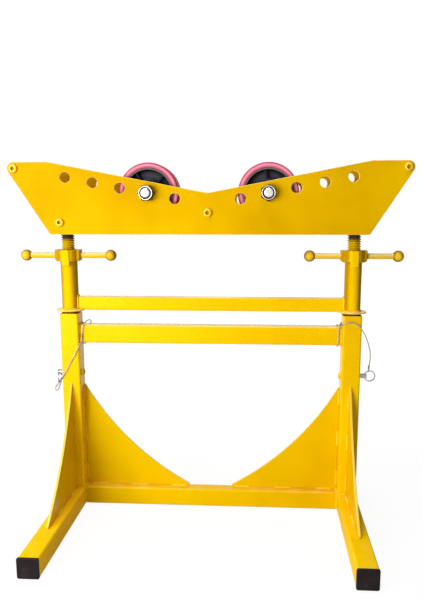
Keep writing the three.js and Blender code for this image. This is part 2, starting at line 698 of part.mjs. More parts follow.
// The left block is screwed from the front and the right one from the rear
function frontScrewPlaces() {
  const ties = [-1, 0, 1].map((side) => tiePlace(side));
  return [...ties, blockScrewPlace(SIDES.left)];
}

function rearScrewPlaces() {
  return [blockScrewPlace(SIDES.right)];
}

function holePlace(index) {
  const x = HOLE_FIRST + index * HOLE_PITCH;
  return [x, HEAD_BOTTOM + V_HEIGHT + V_SLOPE * x - HOLE_DROP];
}

function axlePlace() {
  const [x, z] = holePlace(AXLE_HOLE);
  return (side) => [side * x, 0, z];
}

// Flat shoulders with a round lobe at each end, a shallow V between them, and sides that slope in to the base
function headOutline() {
  const shape = new THREE.Shape();
  const corner = new THREE.Vector2(HEAD_HALF_BASE, 0);
  const lobe = new THREE.Vector2(TIE_HALF_SPACING, TIE_HEIGHT);
  const toLobe = lobe.clone().sub(corner);
  const sideAngle = toLobe.angle() - Math.asin(LOBE_RADIUS / toLobe.length());
  const base = HEAD_CORNER * Math.tan(sideAngle / 2);
  const dip = V_FILLET * Math.sin(Math.atan(V_SLOPE));
  const dipCentre = V_HEIGHT + V_FILLET * Math.hypot(1, V_SLOPE);
  const right = Math.PI / 2;
  const level = (height) => HEAD_BOTTOM + height;
  shape.moveTo(-HEAD_HALF_BASE + base, level(0));
  shape.absarc(HEAD_HALF_BASE - base, level(HEAD_CORNER), HEAD_CORNER, -right, sideAngle - right);
  shape.absarc(lobe.x, level(lobe.y), LOBE_RADIUS, sideAngle - right, right);
  shape.lineTo(SHOULDER_HALF, level(HEAD_SHOULDER));
  shape.lineTo(dip, level(V_HEIGHT + V_SLOPE * dip));
  shape.absarc(0, level(dipCentre), V_FILLET, Math.atan(V_SLOPE) - right, -Math.atan(V_SLOPE) - right, true);
  shape.lineTo(-SHOULDER_HALF, level(HEAD_SHOULDER));
  shape.absarc(-lobe.x, level(lobe.y), LOBE_RADIUS, right, 3 * right - sideAngle);
  shape.absarc(-HEAD_HALF_BASE + base, level(HEAD_CORNER), HEAD_CORNER, 3 * right - sideAngle, 3 * right);
  shape.closePath();
  return shape;
}

function headPlate(from, screwPlaces) {
  const plate = alongY(headOutline(), from, from + PLATE_THICKNESS, OUTLINE_STEPS);
  const range = [from - OVERRUN, from + PLATE_THICKNESS + OVERRUN];
  const drill = (radius, x, z) => rodY(radius, ...range, HOLE_SIDES).translate(x, 0, z);
  const holes = [];
  for (let index = 0; index < HOLE_COUNT; index += 1) {
    const [x, z] = holePlace(index);
    holes.push(drill(HOLE_DIAMETER / 2, x, z), drill(HOLE_DIAMETER / 2, -x, z));
  }
  const screwHoles = screwPlaces.map(([x, , z]) => drill(BUTTON_SHANK / 2 + PIN_CLEARANCE, x, z));
  return cut(plate, ...holes, ...screwHoles);
}

function tieRod() {
  const depth = TIE_SCREW_GRIP + OVERRUN;
  const bore = rodY(BUTTON_SHANK / 2 + FIT_GAP, -PLATE_INNER - OVERRUN, depth - PLATE_INNER, SMALL_SIDES);
  return cut(rodY(TIE_DIAMETER / 2, -PLATE_INNER, PLATE_INNER, SMALL_SIDES), bore);
}

// Domed head with a hex socket on the plate's outer face, front (-1) or rear (1)
function buttonScrew(grip, face) {
  const shank = BUTTON_SHANK / 2;
  const head = BUTTON_HEAD / 2;
  const crown = BUTTON_CROWN / 2;
  const dome = Array.from({ length: DOME_STEPS + 1 }, (_, i) => {
    const angle = (Math.PI * i) / (2 * DOME_STEPS);
    const rise = BUTTON_EDGE + (BUTTON_HEIGHT - BUTTON_EDGE) * Math.sin(angle);
    return [crown + (head - crown) * Math.cos(angle), -rise];
  });
  const end = grip + PLATE_THICKNESS;
  const profile = [[0, -BUTTON_HEIGHT], ...dome.reverse(), [head, 0], [shank, 0], [shank, end], [0, end]];
  const depth = BUTTON_SOCKET_DEPTH - BUTTON_HEIGHT;
  const socket = alongY(hexagon(BUTTON_SOCKET), -BUTTON_HEIGHT - OVERRUN, depth);
  const screw = cut(turned(profile, SMALL_SIDES), socket).translate(0, -PLATE_OUTER, 0);
  return face < 0 ? screw : screw.rotateZ(Math.PI);
}

// A block between the plates that takes the top of the jack screw, and its screw from one plate
function screwBlock(face) {
  const block = new THREE.BoxGeometry(BLOCK_WIDTH, PLATE_GAP, BLOCK_HEIGHT);
  block.translate(0, 0, (BLOCK_BOTTOM + BLOCK_TOP) / 2);
  const bore = rodZ(SCREW_DIAMETER / 2 + FIT_GAP, BLOCK_BOTTOM - OVERRUN, SCREW_TOP + FIT_GAP);
  const range = ordered(face * (PLATE_INNER + OVERRUN), face * (PLATE_INNER - BLOCK_SCREW_GRIP - OVERRUN));
  const tapped = rodY(BUTTON_SHANK / 2 + FIT_GAP, ...range, SMALL_SIDES);
  const offset = face * BLOCK_SCREW_OFFSET;
  return cut(block, bore, tapped.translate(offset, 0, BLOCK_BOTTOM + BLOCK_SCREW_HEIGHT));
}

function axleBolt() {
  const head = alongY(hexagon(HEX_ACROSS_FLATS), PLATE_OUTER, PLATE_OUTER + AXLE_HEAD_HEIGHT);
  const end = -PLATE_OUTER - LOCK_NUT_HEIGHT - AXLE_END;
  return joined(head, rodY(AXLE_DIAMETER / 2, end, PLATE_OUTER + OVERRUN));
}

// Tightened with a flat up on the left and a corner up on the right
function axleNut(side) {
  const turn = side < 0 ? 0 : Math.PI / HEX_SIDES;
  const body = alongY(hexagon(HEX_ACROSS_FLATS), -PLATE_OUTER - LOCK_NUT_HEIGHT, -PLATE_OUTER);
  const from = -PLATE_OUTER - LOCK_NUT_HEIGHT - OVERRUN;
  return cut(body.rotateY(turn), rodY(AXLE_DIAMETER / 2 + FIT_GAP, from, OVERRUN - PLATE_OUTER));
}

// Rollers
function addRollers() {
  const axle = axlePlace();
  for (const [name, side] of Object.entries(SIDES)) {
    addPiece(`roller_tyre_${name}`, tyre(), POLYURETHANE, axle(side));
    addPiece(`roller_core_${name}`, core(RIB_LEAN_DEGREES[name]), CORE_PLASTIC, axle(side));
    addPiece(`roller_bush_${name}`, sleeve(BUSH_BORE, BUSH_RADIUS, HUB_LENGTH), BRONZE, axle(side));
  }
}

function tyre() {
  const half = ROLLER_WIDTH / 2;
  const profile = [
    [TYRE_BORE, -half],
    [ROLLER_RADIUS - TYRE_EDGE, -half],
    [ROLLER_RADIUS, TYRE_EDGE - half],
    [ROLLER_RADIUS, half - TYRE_EDGE],
    [ROLLER_RADIUS - TYRE_EDGE, half],
    [TYRE_BORE, half],
  ];
  return turnedRing(profile, ROLLER_SIDES);
}

// Rim, web and long hub, with ribs on both faces of the web. The lean is the first rib's, from upright.
function core(lean) {
  const half = ROLLER_WIDTH / 2;
  const web = WEB_THICKNESS / 2;
  const rim = CORE_RADIUS - RIM_THICKNESS;
  const hub = HUB_LENGTH / 2;
  const back = [[CORE_BORE, -hub], [HUB_RADIUS, -hub], [HUB_RADIUS, -web], [rim, -web], [rim, -half]];
  const front = back.map(([radius, along]) => [radius, -along]).reverse();
  const disc = turnedRing([...back, [CORE_RADIUS, -half], [CORE_RADIUS, half], ...front], ROLLER_SIDES);
  const length = rim - HUB_RADIUS + 2 * OVERRUN;
  const rib = new THREE.BoxGeometry(length, 2 * (half - RIB_RECESS), RIB_THICKNESS);
  rib.translate((rim + HUB_RADIUS) / 2, 0, 0);
  const first = THREE.MathUtils.degToRad(lean) - Math.PI / 2;
  const turns = Array.from({ length: RIB_COUNT }, (_, i) => first + (2 * Math.PI * i) / RIB_COUNT);
  return joined(disc, ...turns.map((turn) => rib.clone().rotateY(turn)));
}

addBase();
addInnerFrame();
addPins();
addJackNuts();
addHead();
addRollers();

export default stand;
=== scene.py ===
"""Looks of a height-adjustable pipe roller stand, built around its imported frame.

Lengths are millimetres until a mesh is finished, and finished meshes are in metres.
"""

from __future__ import annotations

import logging
import math
from dataclasses import dataclass
from enum import Enum
from typing import Callable, Sequence

import bmesh
import bpy
from mathutils import Matrix, Vector
from mathutils.geometry import tessellate_polygon

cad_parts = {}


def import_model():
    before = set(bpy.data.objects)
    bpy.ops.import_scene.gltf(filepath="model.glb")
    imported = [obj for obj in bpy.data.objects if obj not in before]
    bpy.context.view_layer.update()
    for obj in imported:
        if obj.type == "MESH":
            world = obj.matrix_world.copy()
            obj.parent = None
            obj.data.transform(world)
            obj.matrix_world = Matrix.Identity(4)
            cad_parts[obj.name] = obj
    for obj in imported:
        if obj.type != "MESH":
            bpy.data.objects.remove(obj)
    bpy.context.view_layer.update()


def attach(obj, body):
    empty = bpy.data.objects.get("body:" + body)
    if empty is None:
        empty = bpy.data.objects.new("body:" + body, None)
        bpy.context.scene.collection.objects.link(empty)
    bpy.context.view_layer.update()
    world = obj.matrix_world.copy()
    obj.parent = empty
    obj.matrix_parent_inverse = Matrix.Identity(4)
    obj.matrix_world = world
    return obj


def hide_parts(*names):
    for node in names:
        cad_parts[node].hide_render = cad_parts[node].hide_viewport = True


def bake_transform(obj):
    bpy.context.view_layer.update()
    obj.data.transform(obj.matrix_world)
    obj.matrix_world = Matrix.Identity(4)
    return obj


LOG = logging.getLogger("roller_stand")
MM = 0.001
TURN = 2 * math.pi

Point2 = tuple[float, float]
Point3 = tuple[float, float, float]
Colour = tuple[float, float, float]


class Side(Enum):
    """The two mirrored halves of the stand, seen from the front."""

    LEFT = -1
    RIGHT = 1

    @property
    def word(self) -> str:
        """The half's name as it stands in node names."""
        return self.name.lower()


class Axis(Enum):
    """The direction that a piece is extruded or turned along."""

    X = 0
    Y = 1
    Z = 2

    def point(self, across: float, up: float, along: float) -> Vector:
        """Gives a point from two distances square to the axis and one along it.

        Args:
            across: First distance square to the axis, on Y for the X axis and on X otherwise.
            up: Second distance square to the axis, on Y for the Z axis and on Z otherwise.
            along: Distance along the axis.

        Returns:
            The point in the frame.
        """
        if self is Axis.X:
            return Vector((along, across, up))
        if self is Axis.Y:
            return Vector((across, along, up))
        return Vector((across, up, along))


class Ends(Enum):
    """How a loft ends."""

    CAPPED = "capped"
    JOINED = "joined"


class Slot(Enum):
    """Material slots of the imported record."""

    PAINT = "yellow_paint"
    ZINC = "zinc_steel"
    SCREW = "screw_steel"
    TREAD = "tread"
    CORE = "core_plastic"
    CAP = "cap_plastic"
    BRONZE = "bush_bronze"
    ROPE = "wire_rope"


# Outlines and solids


def arc(centre: Point2, radius: float, start: float, end: float, steps: int) -> list[Point2]:
    """Gives points on an arc.

    Args:
        centre: Middle of the arc.
        radius: Its radius.
        start: First angle, in radians.
        end: Last angle, in radians.
        steps: Number of steps between them.

    Returns:
        The points, ends included.
    """
    angles = [start + (end - start) * i / steps for i in range(steps + 1)]
    return [(centre[0] + radius * math.cos(a), centre[1] + radius * math.sin(a)) for a in angles]


def circle(centre: Point2, radius: float, steps: int) -> list[Point2]:
    """Gives the points of a full circle, without repeating the first."""
    return arc(centre, radius, 0, TURN * (steps - 1) / steps, steps - 1)


def rounded_rectangle(low: Point2, high: Point2, radius: float, steps: int = 6) -> list[Point2]:
    """Gives a rectangle with round corners, anticlockwise.

    Args:
        low: Lowest corner.
        high: Highest corner.
        radius: Corner radius.
        steps: Steps on each corner.

    Returns:
        The outline's points.
    """
    corners = [
        ((high[0] - radius, low[1] + radius), -TURN / 4),
        ((high[0] - radius, high[1] - radius), 0),
        ((low[0] + radius, high[1] - radius), TURN / 4),
        ((low[0] + radius, low[1] + radius), TURN / 2),
    ]
    outline: list[Point2] = []
    for centre, start in corners:
        outline += arc(centre, radius, start, start + TURN / 4, steps)
    return outline


def eased(profile: Sequence[Point2], radius: float, steps: int = 4) -> list[Point2]:
    """Rounds the inner corners of an open profile.

    Args:
        profile: Corner points; the first and last stay as they are.
        radius: Largest rounding, held to a share of the sides that meet at a corner.
        steps: Steps on each corner.

    Returns:
        The rounded profile.
    """
    share = 0.45
    rounded = [profile[0]]
    for before, here, after in zip(profile, profile[1:], profile[2:]):
        corner = Vector(here)
        back = Vector(before) - corner
        ahead = Vector(after) - corner
        reach = min(radius, share * back.length, share * ahead.length)
        start = corner + back.normalized() * reach
        end = corner + ahead.normalized() * reach
        for i in range(steps + 1):
            t = i / steps
            spot = start * (1 - t) ** 2 + corner * 2 * t * (1 - t) + end * t**2
            rounded.append((spot.x, spot.y))
    rounded.append(profile[-1])
    return rounded


def inset(outline: Sequence[Point2], distance: float) -> list[Point2]:
    """Moves an anticlockwise outline inwards.

    Args:
        outline: Closed outline.
        distance: How far in, or out where it is negative.

    Returns:
        The moved outline, with the same number of points.
    """
    moved = []
    sharpest = 0.3
    count = len(outline)
    for i, here in enumerate(outline):
        back = (Vector(here) - Vector(outline[i - 1])).normalized()
        ahead = (Vector(outline[(i + 1) % count]) - Vector(here)).normalized()
        normals = [Vector((-side.y, side.x)) for side in (back, ahead) if side.length]
        middle = sum(normals, Vector((0, 0))).normalized()
        spot = Vector(here) + middle * distance / max(sharpest, middle.dot(normals[0]))
        moved.append((spot.x, spot.y))
    return moved


def loft(rings: Sequence[Sequence[Vector]], ends: Ends = Ends.CAPPED) -> bmesh.types.BMesh:
    """Skins a row of rings that have equal numbers of points.

    Args:
        rings: The rings, in order.
        ends: Whether the two end rings are capped or joined to each other.

    Returns:
        A closed mesh.
    """
    bm = bmesh.new()
    made = [[bm.verts.new(point) for point in ring] for ring in rings]
    pairs = list(zip(made, made[1:]))
    if ends is Ends.JOINED:
        pairs.append((made[-1], made[0]))
    for lower, upper in pairs:
        for i, corner in enumerate(lower):
            bm.faces.new((lower[i - 1], corner, upper[i], upper[i - 1]))
    if ends is Ends.CAPPED:
        for ring in (made[0], made[-1]):
            middle = bm.verts.new(sum((v.co for v in ring), Vector()) / len(ring))
            for i, corner in enumerate(ring):
                bm.faces.new((ring[i - 1], corner, middle))
    return bm


def turned(
    profile: Sequence[Point2],
    axis: Axis,
    centre: Point3 = (0, 0, 0),
    ends: Ends = Ends.CAPPED,
    steps: int = 64,
) -> bmesh.types.BMesh:
    """Turns a profile about an axis.

    Args:
        profile: Radius and distance along the axis, point by point.
        axis: Axis to turn about.
        centre: A point on the axis.
        ends: Capped for a solid, joined for a ring.
        steps: Steps round the axis.

    Returns:
        A closed mesh.
    """
    rings = []
    for radius, along in profile:
        spots = circle((0, 0), radius, steps)
        rings.append([Vector(centre) + axis.point(a, b, along) for a, b in spots])
    return loft(rings, ends)


def box_tube(
    axis: Axis, low: Point2, high: Point2, span: Point2, wall: float, corner: float
) -> bmesh.types.BMesh:
    """Makes a length of rectangular tube with round corners.

    Args:
        axis: Axis along the tube.
        low: Lowest corner of its section.
        high: Highest corner of its section.
        span: Where it starts and ends.
        wall: Wall thickness.
        corner: Outer corner radius.

    Returns:
        A closed mesh with an open bore.
    """
    outer = rounded_rectangle(low, high, corner)
    bore = inset(outer, wall)
    rings = []
    for outline, along in ((outer, span[0]), (outer, span[1]), (bore, span[1]), (bore, span[0])):
        rings.append([axis.point(a, b, along) for a, b in outline])
    return loft(rings, Ends.JOINED)


def plate(
    axis: Axis,
    outline: Sequence[Point2],
    span: Point2,
    chamfer: float,
    holes: Sequence[Sequence[Point2]] = (),
) -> bmesh.types.BMesh:
    """Makes a flat plate with holes and with chamfers along every edge.

    Args:
        axis: Axis through the plate's thickness.
        outline: Outer outline, anticlockwise.
        span: Where its two faces lie along the axis.
        chamfer: Width of the chamfers.
        holes: Outlines of the holes, anticlockwise.

    Returns:
        A closed mesh.
    """
    bm = bmesh.new()
    low, high = span
    faces: dict[float, list[list[bmesh.types.BMVert]]] = {low: [], high: []}
    flats = []
    for index, loop in enumerate([outline, *holes]):
        flat = inset(loop, chamfer if index == 0 else -chamfer)
        flats.append([Vector((a, b, 0)) for a, b in flat])
        steps = ((flat, low), (loop, low + chamfer), (loop, high - chamfer), (flat, high))
        rings = [[bm.verts.new(axis.point(a, b, along)) for a, b in ring] for ring, along in steps]
        for lower, upper in zip(rings, rings[1:]):
            for i, corner in enumerate(lower):
                bm.faces.new((lower[i - 1], corner, upper[i], upper[i - 1]))
        faces[low].append(rings[0])
        faces[high].append(rings[-1])
    triangles = tessellate_polygon(flats)
    for loops in faces.values():
        corners = [corner for loop in loops for corner in loop]
        for triangle in triangles:
            bm.faces.new([corners[i] for i in triangle])
    return bm


def smooth_path(points: Sequence[Point3], step: float) -> list[Vector]:
    """Draws one smooth curve through points, with knots spaced by the root of their distance.

    Args:
        points: Points on the curve.
        step: Distance between the points that are given back.

    Returns:
        Evenly spaced points along the curve.
    """
    knots = [Vector(p) for p in points]
    knots = [2 * knots[0] - knots[1], *knots, 2 * knots[-1] - knots[-2]]
    fine = 24
    dense = [knots[1]]
    for p0, p1, p2, p3 in zip(knots, knots[1:], knots[2:], knots[3:]):
        gaps = [math.sqrt((b - a).length) for a, b in ((p0, p1), (p1, p2), (p2, p3))]
        t1 = gaps[0]
        t2 = t1 + gaps[1]
        t3 = t2 + gaps[2]
        for i in range(1, fine + 1):
            t = t1 + (t2 - t1) * i / fine
            a1 = p0 * ((t1 - t) / t1) + p1 * (t / t1)
            a2 = p1 * ((t2 - t) / (t2 - t1)) + p2 * ((t - t1) / (t2 - t1))
            a3 = p2 * ((t3 - t) / (t3 - t2)) + p3 * ((t - t2) / (t3 - t2))
            b1 = a1 * ((t2 - t) / t2) + a2 * (t / t2)
            b2 = a2 * ((t3 - t) / (t3 - t1)) + a3 * ((t - t1) / (t3 - t1))
            dense.append(b1 * ((t2 - t) / (t2 - t1)) + b2 * ((t - t1) / (t2 - t1)))
    return evenly(dense, step)


def evenly(points: Sequence[Vector], step: float) -> list[Vector]:
    """Spaces points evenly along a line.

    Args:
        points: The line's points, close together.
        step: Distance wanted between points.

    Returns:
        Points about that far apart, from the first point to the last.
    """
    lengths = [0.0]
    for a, b in zip(points, points[1:]):
        lengths.append(lengths[-1] + (b - a).length)
    count = max(2, round(lengths[-1] / step))
    spaced = []
    place = 0
    for i in range(count + 1):
        target = lengths[-1] * i / count
        while place < len(points) - 2 and lengths[place + 1] < target:
            place += 1
        gap = lengths[place + 1] - lengths[place]
        spaced.append(points[place].lerp(points[place + 1], (target - lengths[place]) / gap))
    return spaced


def path_length(points: Sequence[Vector]) -> float:
    """Gives the length of a line through points."""
    return sum((b - a).length for a, b in zip(points, points[1:]))


def sweep(path: Sequence[Vector], section: Callable[[float], list[Point2]]) -> bmesh.types.BMesh:
    """Sweeps a section along a path without twisting it.

    Args:
        path: Points along the path.
        section: Gives the section's points for a distance along the path.

    Returns:
        A closed mesh with capped ends.
    """
    rings = []
    along = 0.0
    tangent = (path[1] - path[0]).normalized()
    across = tangent.orthogonal().normalized()
    for i, spot in enumerate(path):
        ahead = (path[min(i + 1, len(path) - 1)] - path[max(i - 1, 0)]).normalized()
        across = tangent.rotation_difference(ahead) @ across
        across = (across - ahead * across.dot(ahead)).normalized()
        tangent = ahead
        up = tangent.cross(across)
        rings.append([spot + across * a + up * b for a, b in section(along)])
        if i + 1 < len(path):
            along += (path[i + 1] - spot).length
    return loft(rings)


# Finished meshes and pieces


def rough_mesh(*parts: bmesh.types.BMesh) -> bpy.types.Mesh:
    """Joins closed meshes into one, in millimetres, with their faces turned outwards."""
    mesh = bpy.data.meshes.new("rough")
    whole = bmesh.new()
    for part in parts:
        bmesh.ops.remove_doubles(part, verts=part.verts, dist=1e-4)
        bmesh.ops.recalc_face_normals(part, faces=part.faces)
        part.to_mesh(mesh)
        part.free()
        whole.from_mesh(mesh)
    whole.to_mesh(mesh)
    whole.free()
    return mesh


def with_modifiers(mesh: bpy.types.Mesh, add: Callable[[bpy.types.Object], None]) -> bpy.types.Mesh:
    """Runs modifiers on a mesh.

    Args:
        mesh: The mesh, which is used up.
        add: Adds the modifiers to the object that it is given.

    Returns:
        The plain mesh that the modifiers make.
    """
    holder = bpy.data.objects.new("holder", mesh)
    bpy.context.scene.collection.objects.link(holder)
    add(holder)
    depsgraph = bpy.context.evaluated_depsgraph_get()
    made = bpy.data.meshes.new_from_object(holder.evaluated_get(depsgraph), depsgraph=depsgraph)
    bpy.data.objects.remove(holder)
    bpy.data.meshes.remove(mesh)
    return made


def carved(mesh: bpy.types.Mesh, *cutters: bmesh.types.BMesh) -> bpy.types.Mesh:
    """Cuts closed shapes out of a mesh.

    Args:
        mesh: The mesh to cut, in millimetres.
        cutters: The shapes to take away.

    Returns:
        The cut mesh.
    """
    tool = bpy.data.objects.new("cutter", rough_mesh(*cutters))
    bpy.context.scene.collection.objects.link(tool)

    def add(holder: bpy.types.Object) -> None:
        """Adds the cut."""
        cut = holder.modifiers.new("cut", "BOOLEAN")
        cut.operation = "DIFFERENCE"
        cut.solver = "EXACT"
        cut.object = tool

    made = with_modifiers(mesh, add)
    shape = tool.data
    bpy.data.objects.remove(tool)
    bpy.data.meshes.remove(shape)
    return made


def cast(mesh: bpy.types.Mesh, grain: float, passes: int) -> bpy.types.Mesh:
    """Runs overlapping shapes together into one cast form with soft edges.

    Args:
        mesh: Closed shapes that overlap, in millimetres.
        grain: Size of the grid that the form is rebuilt on.
        passes: Smoothing passes.

    Returns:
        One closed mesh.
    """

    def add(holder: bpy.types.Object) -> None:
        """Adds the rebuild and the smoothing."""
        melt = holder.modifiers.new("melt", "REMESH")
        melt.mode = "VOXEL"
        melt.voxel_size = grain
        soften = holder.modifiers.new("soften", "SMOOTH")
        soften.factor = 0.5
        soften.iterations = passes

    return with_modifiers(mesh, add)


def finished(mesh: bpy.types.Mesh, crease: float = 35) -> bpy.types.Mesh:
    """Turns a mesh in millimetres into a shaded mesh in metres.

    Args:
        mesh: The mesh, which is used up.
        crease: Angle in degrees past which an edge stays sharp.

    Returns:
        The mesh with smooth shading that keeps flat faces flat.
    """
    mesh.transform(Matrix.Scale(MM, 4))
    mesh.shade_smooth()
    mesh.set_sharp_from_angle(angle=math.radians(crease))

    def add(holder: bpy.types.Object) -> None:
        """Weights the normals by face area."""
        weight = holder.modifiers.new("weight", "WEIGHTED_NORMAL")
        weight.keep_sharp = True

    return with_modifiers(mesh, add)


def add_piece(
    name: str, mesh: bpy.types.Mesh, finish: Finish, body: str, nodes: Sequence[str] = ()
) -> bpy.types.Object:
    """Dresses a finished mesh and fixes it to a body.

    Args:
        name: The piece's name.
        mesh: Its mesh, in metres.
        finish: Its finish.
        body: Body that it moves with.
        nodes: Nodes of the frame that it stands for.

    Returns:
        The piece.
    """
    piece = free_piece(name, mesh, finish, nodes)
    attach(piece, body)
    return piece


def free_piece(
    name: str, mesh: bpy.types.Mesh, finish: Finish, nodes: Sequence[str] = ()
) -> bpy.types.Object:
    """Dresses a finished mesh that isn't fixed to a body yet.

    Args:
        name: The piece's name.
        mesh: Its mesh, in metres.
        finish: Its finish.
        nodes: Nodes of the frame that it stands for.

    Returns:
        The piece.
    """
    mesh.name = name
    mesh.materials.clear()
    mesh.materials.append(finish.material())
    piece = bpy.data.objects.new(name, mesh)
    bpy.context.scene.collection.objects.link(piece)
    if nodes:
        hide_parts(*nodes)
    LOG.info("%s: %d faces", name, len(mesh.polygons))
    return piece


# Node trees


@dataclass
class Graph:
    """A node tree with short ways to add and join nodes."""

    tree: bpy.types.NodeTree

    def add(self, kind: str, **settings: object) -> bpy.types.Node:
        """Adds a node.

        Args:
            kind: The node's type.
            **settings: Properties to set on it.

        Returns:
            The node.
        """
        node = self.tree.nodes.new(kind)
        for key, value in settings.items():
            setattr(node, key, value)
        return node

    def feed(self, socket: bpy.types.NodeSocket, value: object) -> None:
        """Joins a socket to another, or sets its value."""
        if isinstance(value, bpy.types.NodeSocket):
            self.tree.links.new(value, socket)
        else:
            socket.default_value = value

    def math(self, operation: str, *values: object) -> bpy.types.NodeSocket:
        """Adds a sum.

        Args:
            operation: The Math node's operation.
            *values: Sockets or numbers.

        Returns:
            The result's socket.
        """
        node = self.add("ShaderNodeMath", operation=operation)
        for socket, value in zip(node.inputs, values):
            self.feed(socket, value)
        return node.outputs[0]

    def ramp(self, value: object, low: object, high: object) -> bpy.types.NodeSocket:
        """Stretches a value from low to high into 0 to 1, held at both ends."""
        node = self.add("ShaderNodeMapRange")
        for key, given in (("Value", value), ("From Min", low), ("From Max", high)):
            self.feed(node.inputs[key], given)
        return node.outputs["Result"]

    def noise(self, vector: object, scale: object, detail: float = 2) -> bpy.types.NodeSocket:
        """Adds a noise texture and gives its value."""
        node = self.add("ShaderNodeTexNoise")
        self.feed(node.inputs["Vector"], vector)
        self.feed(node.inputs["Scale"], scale)
        node.inputs["Detail"].default_value = detail
        return node.outputs[0]

    def mix(self, share: object, first: object, second: object) -> bpy.types.NodeSocket:
        """Mixes two colours.

        Args:
            share: How much of the second colour shows.
            first: First colour.
            second: Second colour.

        Returns:
            The mixed colour's socket.
        """
        node = self.add("ShaderNodeMix", data_type="RGBA")
        self.feed(node.inputs[0], share)
        for socket, value in ((node.inputs[6], first), (node.inputs[7], second)):
            self.feed(socket, (*value, 1) if isinstance(value, tuple) else value)
        return node.outputs[2]

    def distance(self, first: object, second: object) -> bpy.types.NodeSocket:
        """Gives the length of two distances that lie square to each other."""
        squares = [self.math("MULTIPLY", side, side) for side in (first, second)]
        return self.math("SQRT", self.math("ADD", *squares))

    def object_place(self) -> bpy.types.NodeSocket:
        """Gives the place on the object, in metres."""
        return self.add("ShaderNodeTexCoord").outputs["Object"]

    def round_axle(self, axle: Point2) -> tuple[bpy.types.NodeSocket, bpy.types.NodeSocket]:
        """Gives the distance from either axle's line and from the middle plane.

        Args:
            axle: The axles' distance from the middle and their height, in metres.

        Returns:
            Sockets with the two distances.
        """
        split = self.add("ShaderNodeSeparateXYZ")
        self.feed(split.inputs[0], self.object_place())
        aside = self.math("SUBTRACT", self.math("ABSOLUTE", split.outputs["X"]), axle[0])
        rise = self.math("SUBTRACT", split.outputs["Z"], axle[1])
        return self.distance(aside, rise), self.math("ABSOLUTE", split.outputs["Y"])

    def stretched(self, vector: object, scale: Point3) -> bpy.types.NodeSocket:
        """Stretches a place by a factor on each axis."""
        node = self.add("ShaderNodeMapping")
        self.feed(node.inputs["Vector"], vector)
        node.inputs["Scale"].default_value = scale
        return node.outputs[0]


def shader_group(name: str, inputs: dict[str, float], outputs: Sequence[str]) -> Graph:
    """Starts a shader node group with number sockets.

    Args:
        name: The group's name.
        inputs: Input names and their default values.
        outputs: Output names.

    Returns:
        The group's graph, with its input and output nodes named Inputs and Outputs.
    """
    tree = bpy.data.node_groups.new(name, "ShaderNodeTree")
    for key, value in inputs.items():
        socket = tree.interface.new_socket(name=key, in_out="INPUT", socket_type="NodeSocketFloat")
        socket.default_value = value
    for key in outputs:
        tree.interface.new_socket(name=key, in_out="OUTPUT", socket_type="NodeSocketFloat")
    graph = Graph(tree)
    graph.add("NodeGroupInput", name="Inputs")
    graph.add("NodeGroupOutput", name="Outputs")
    return graph


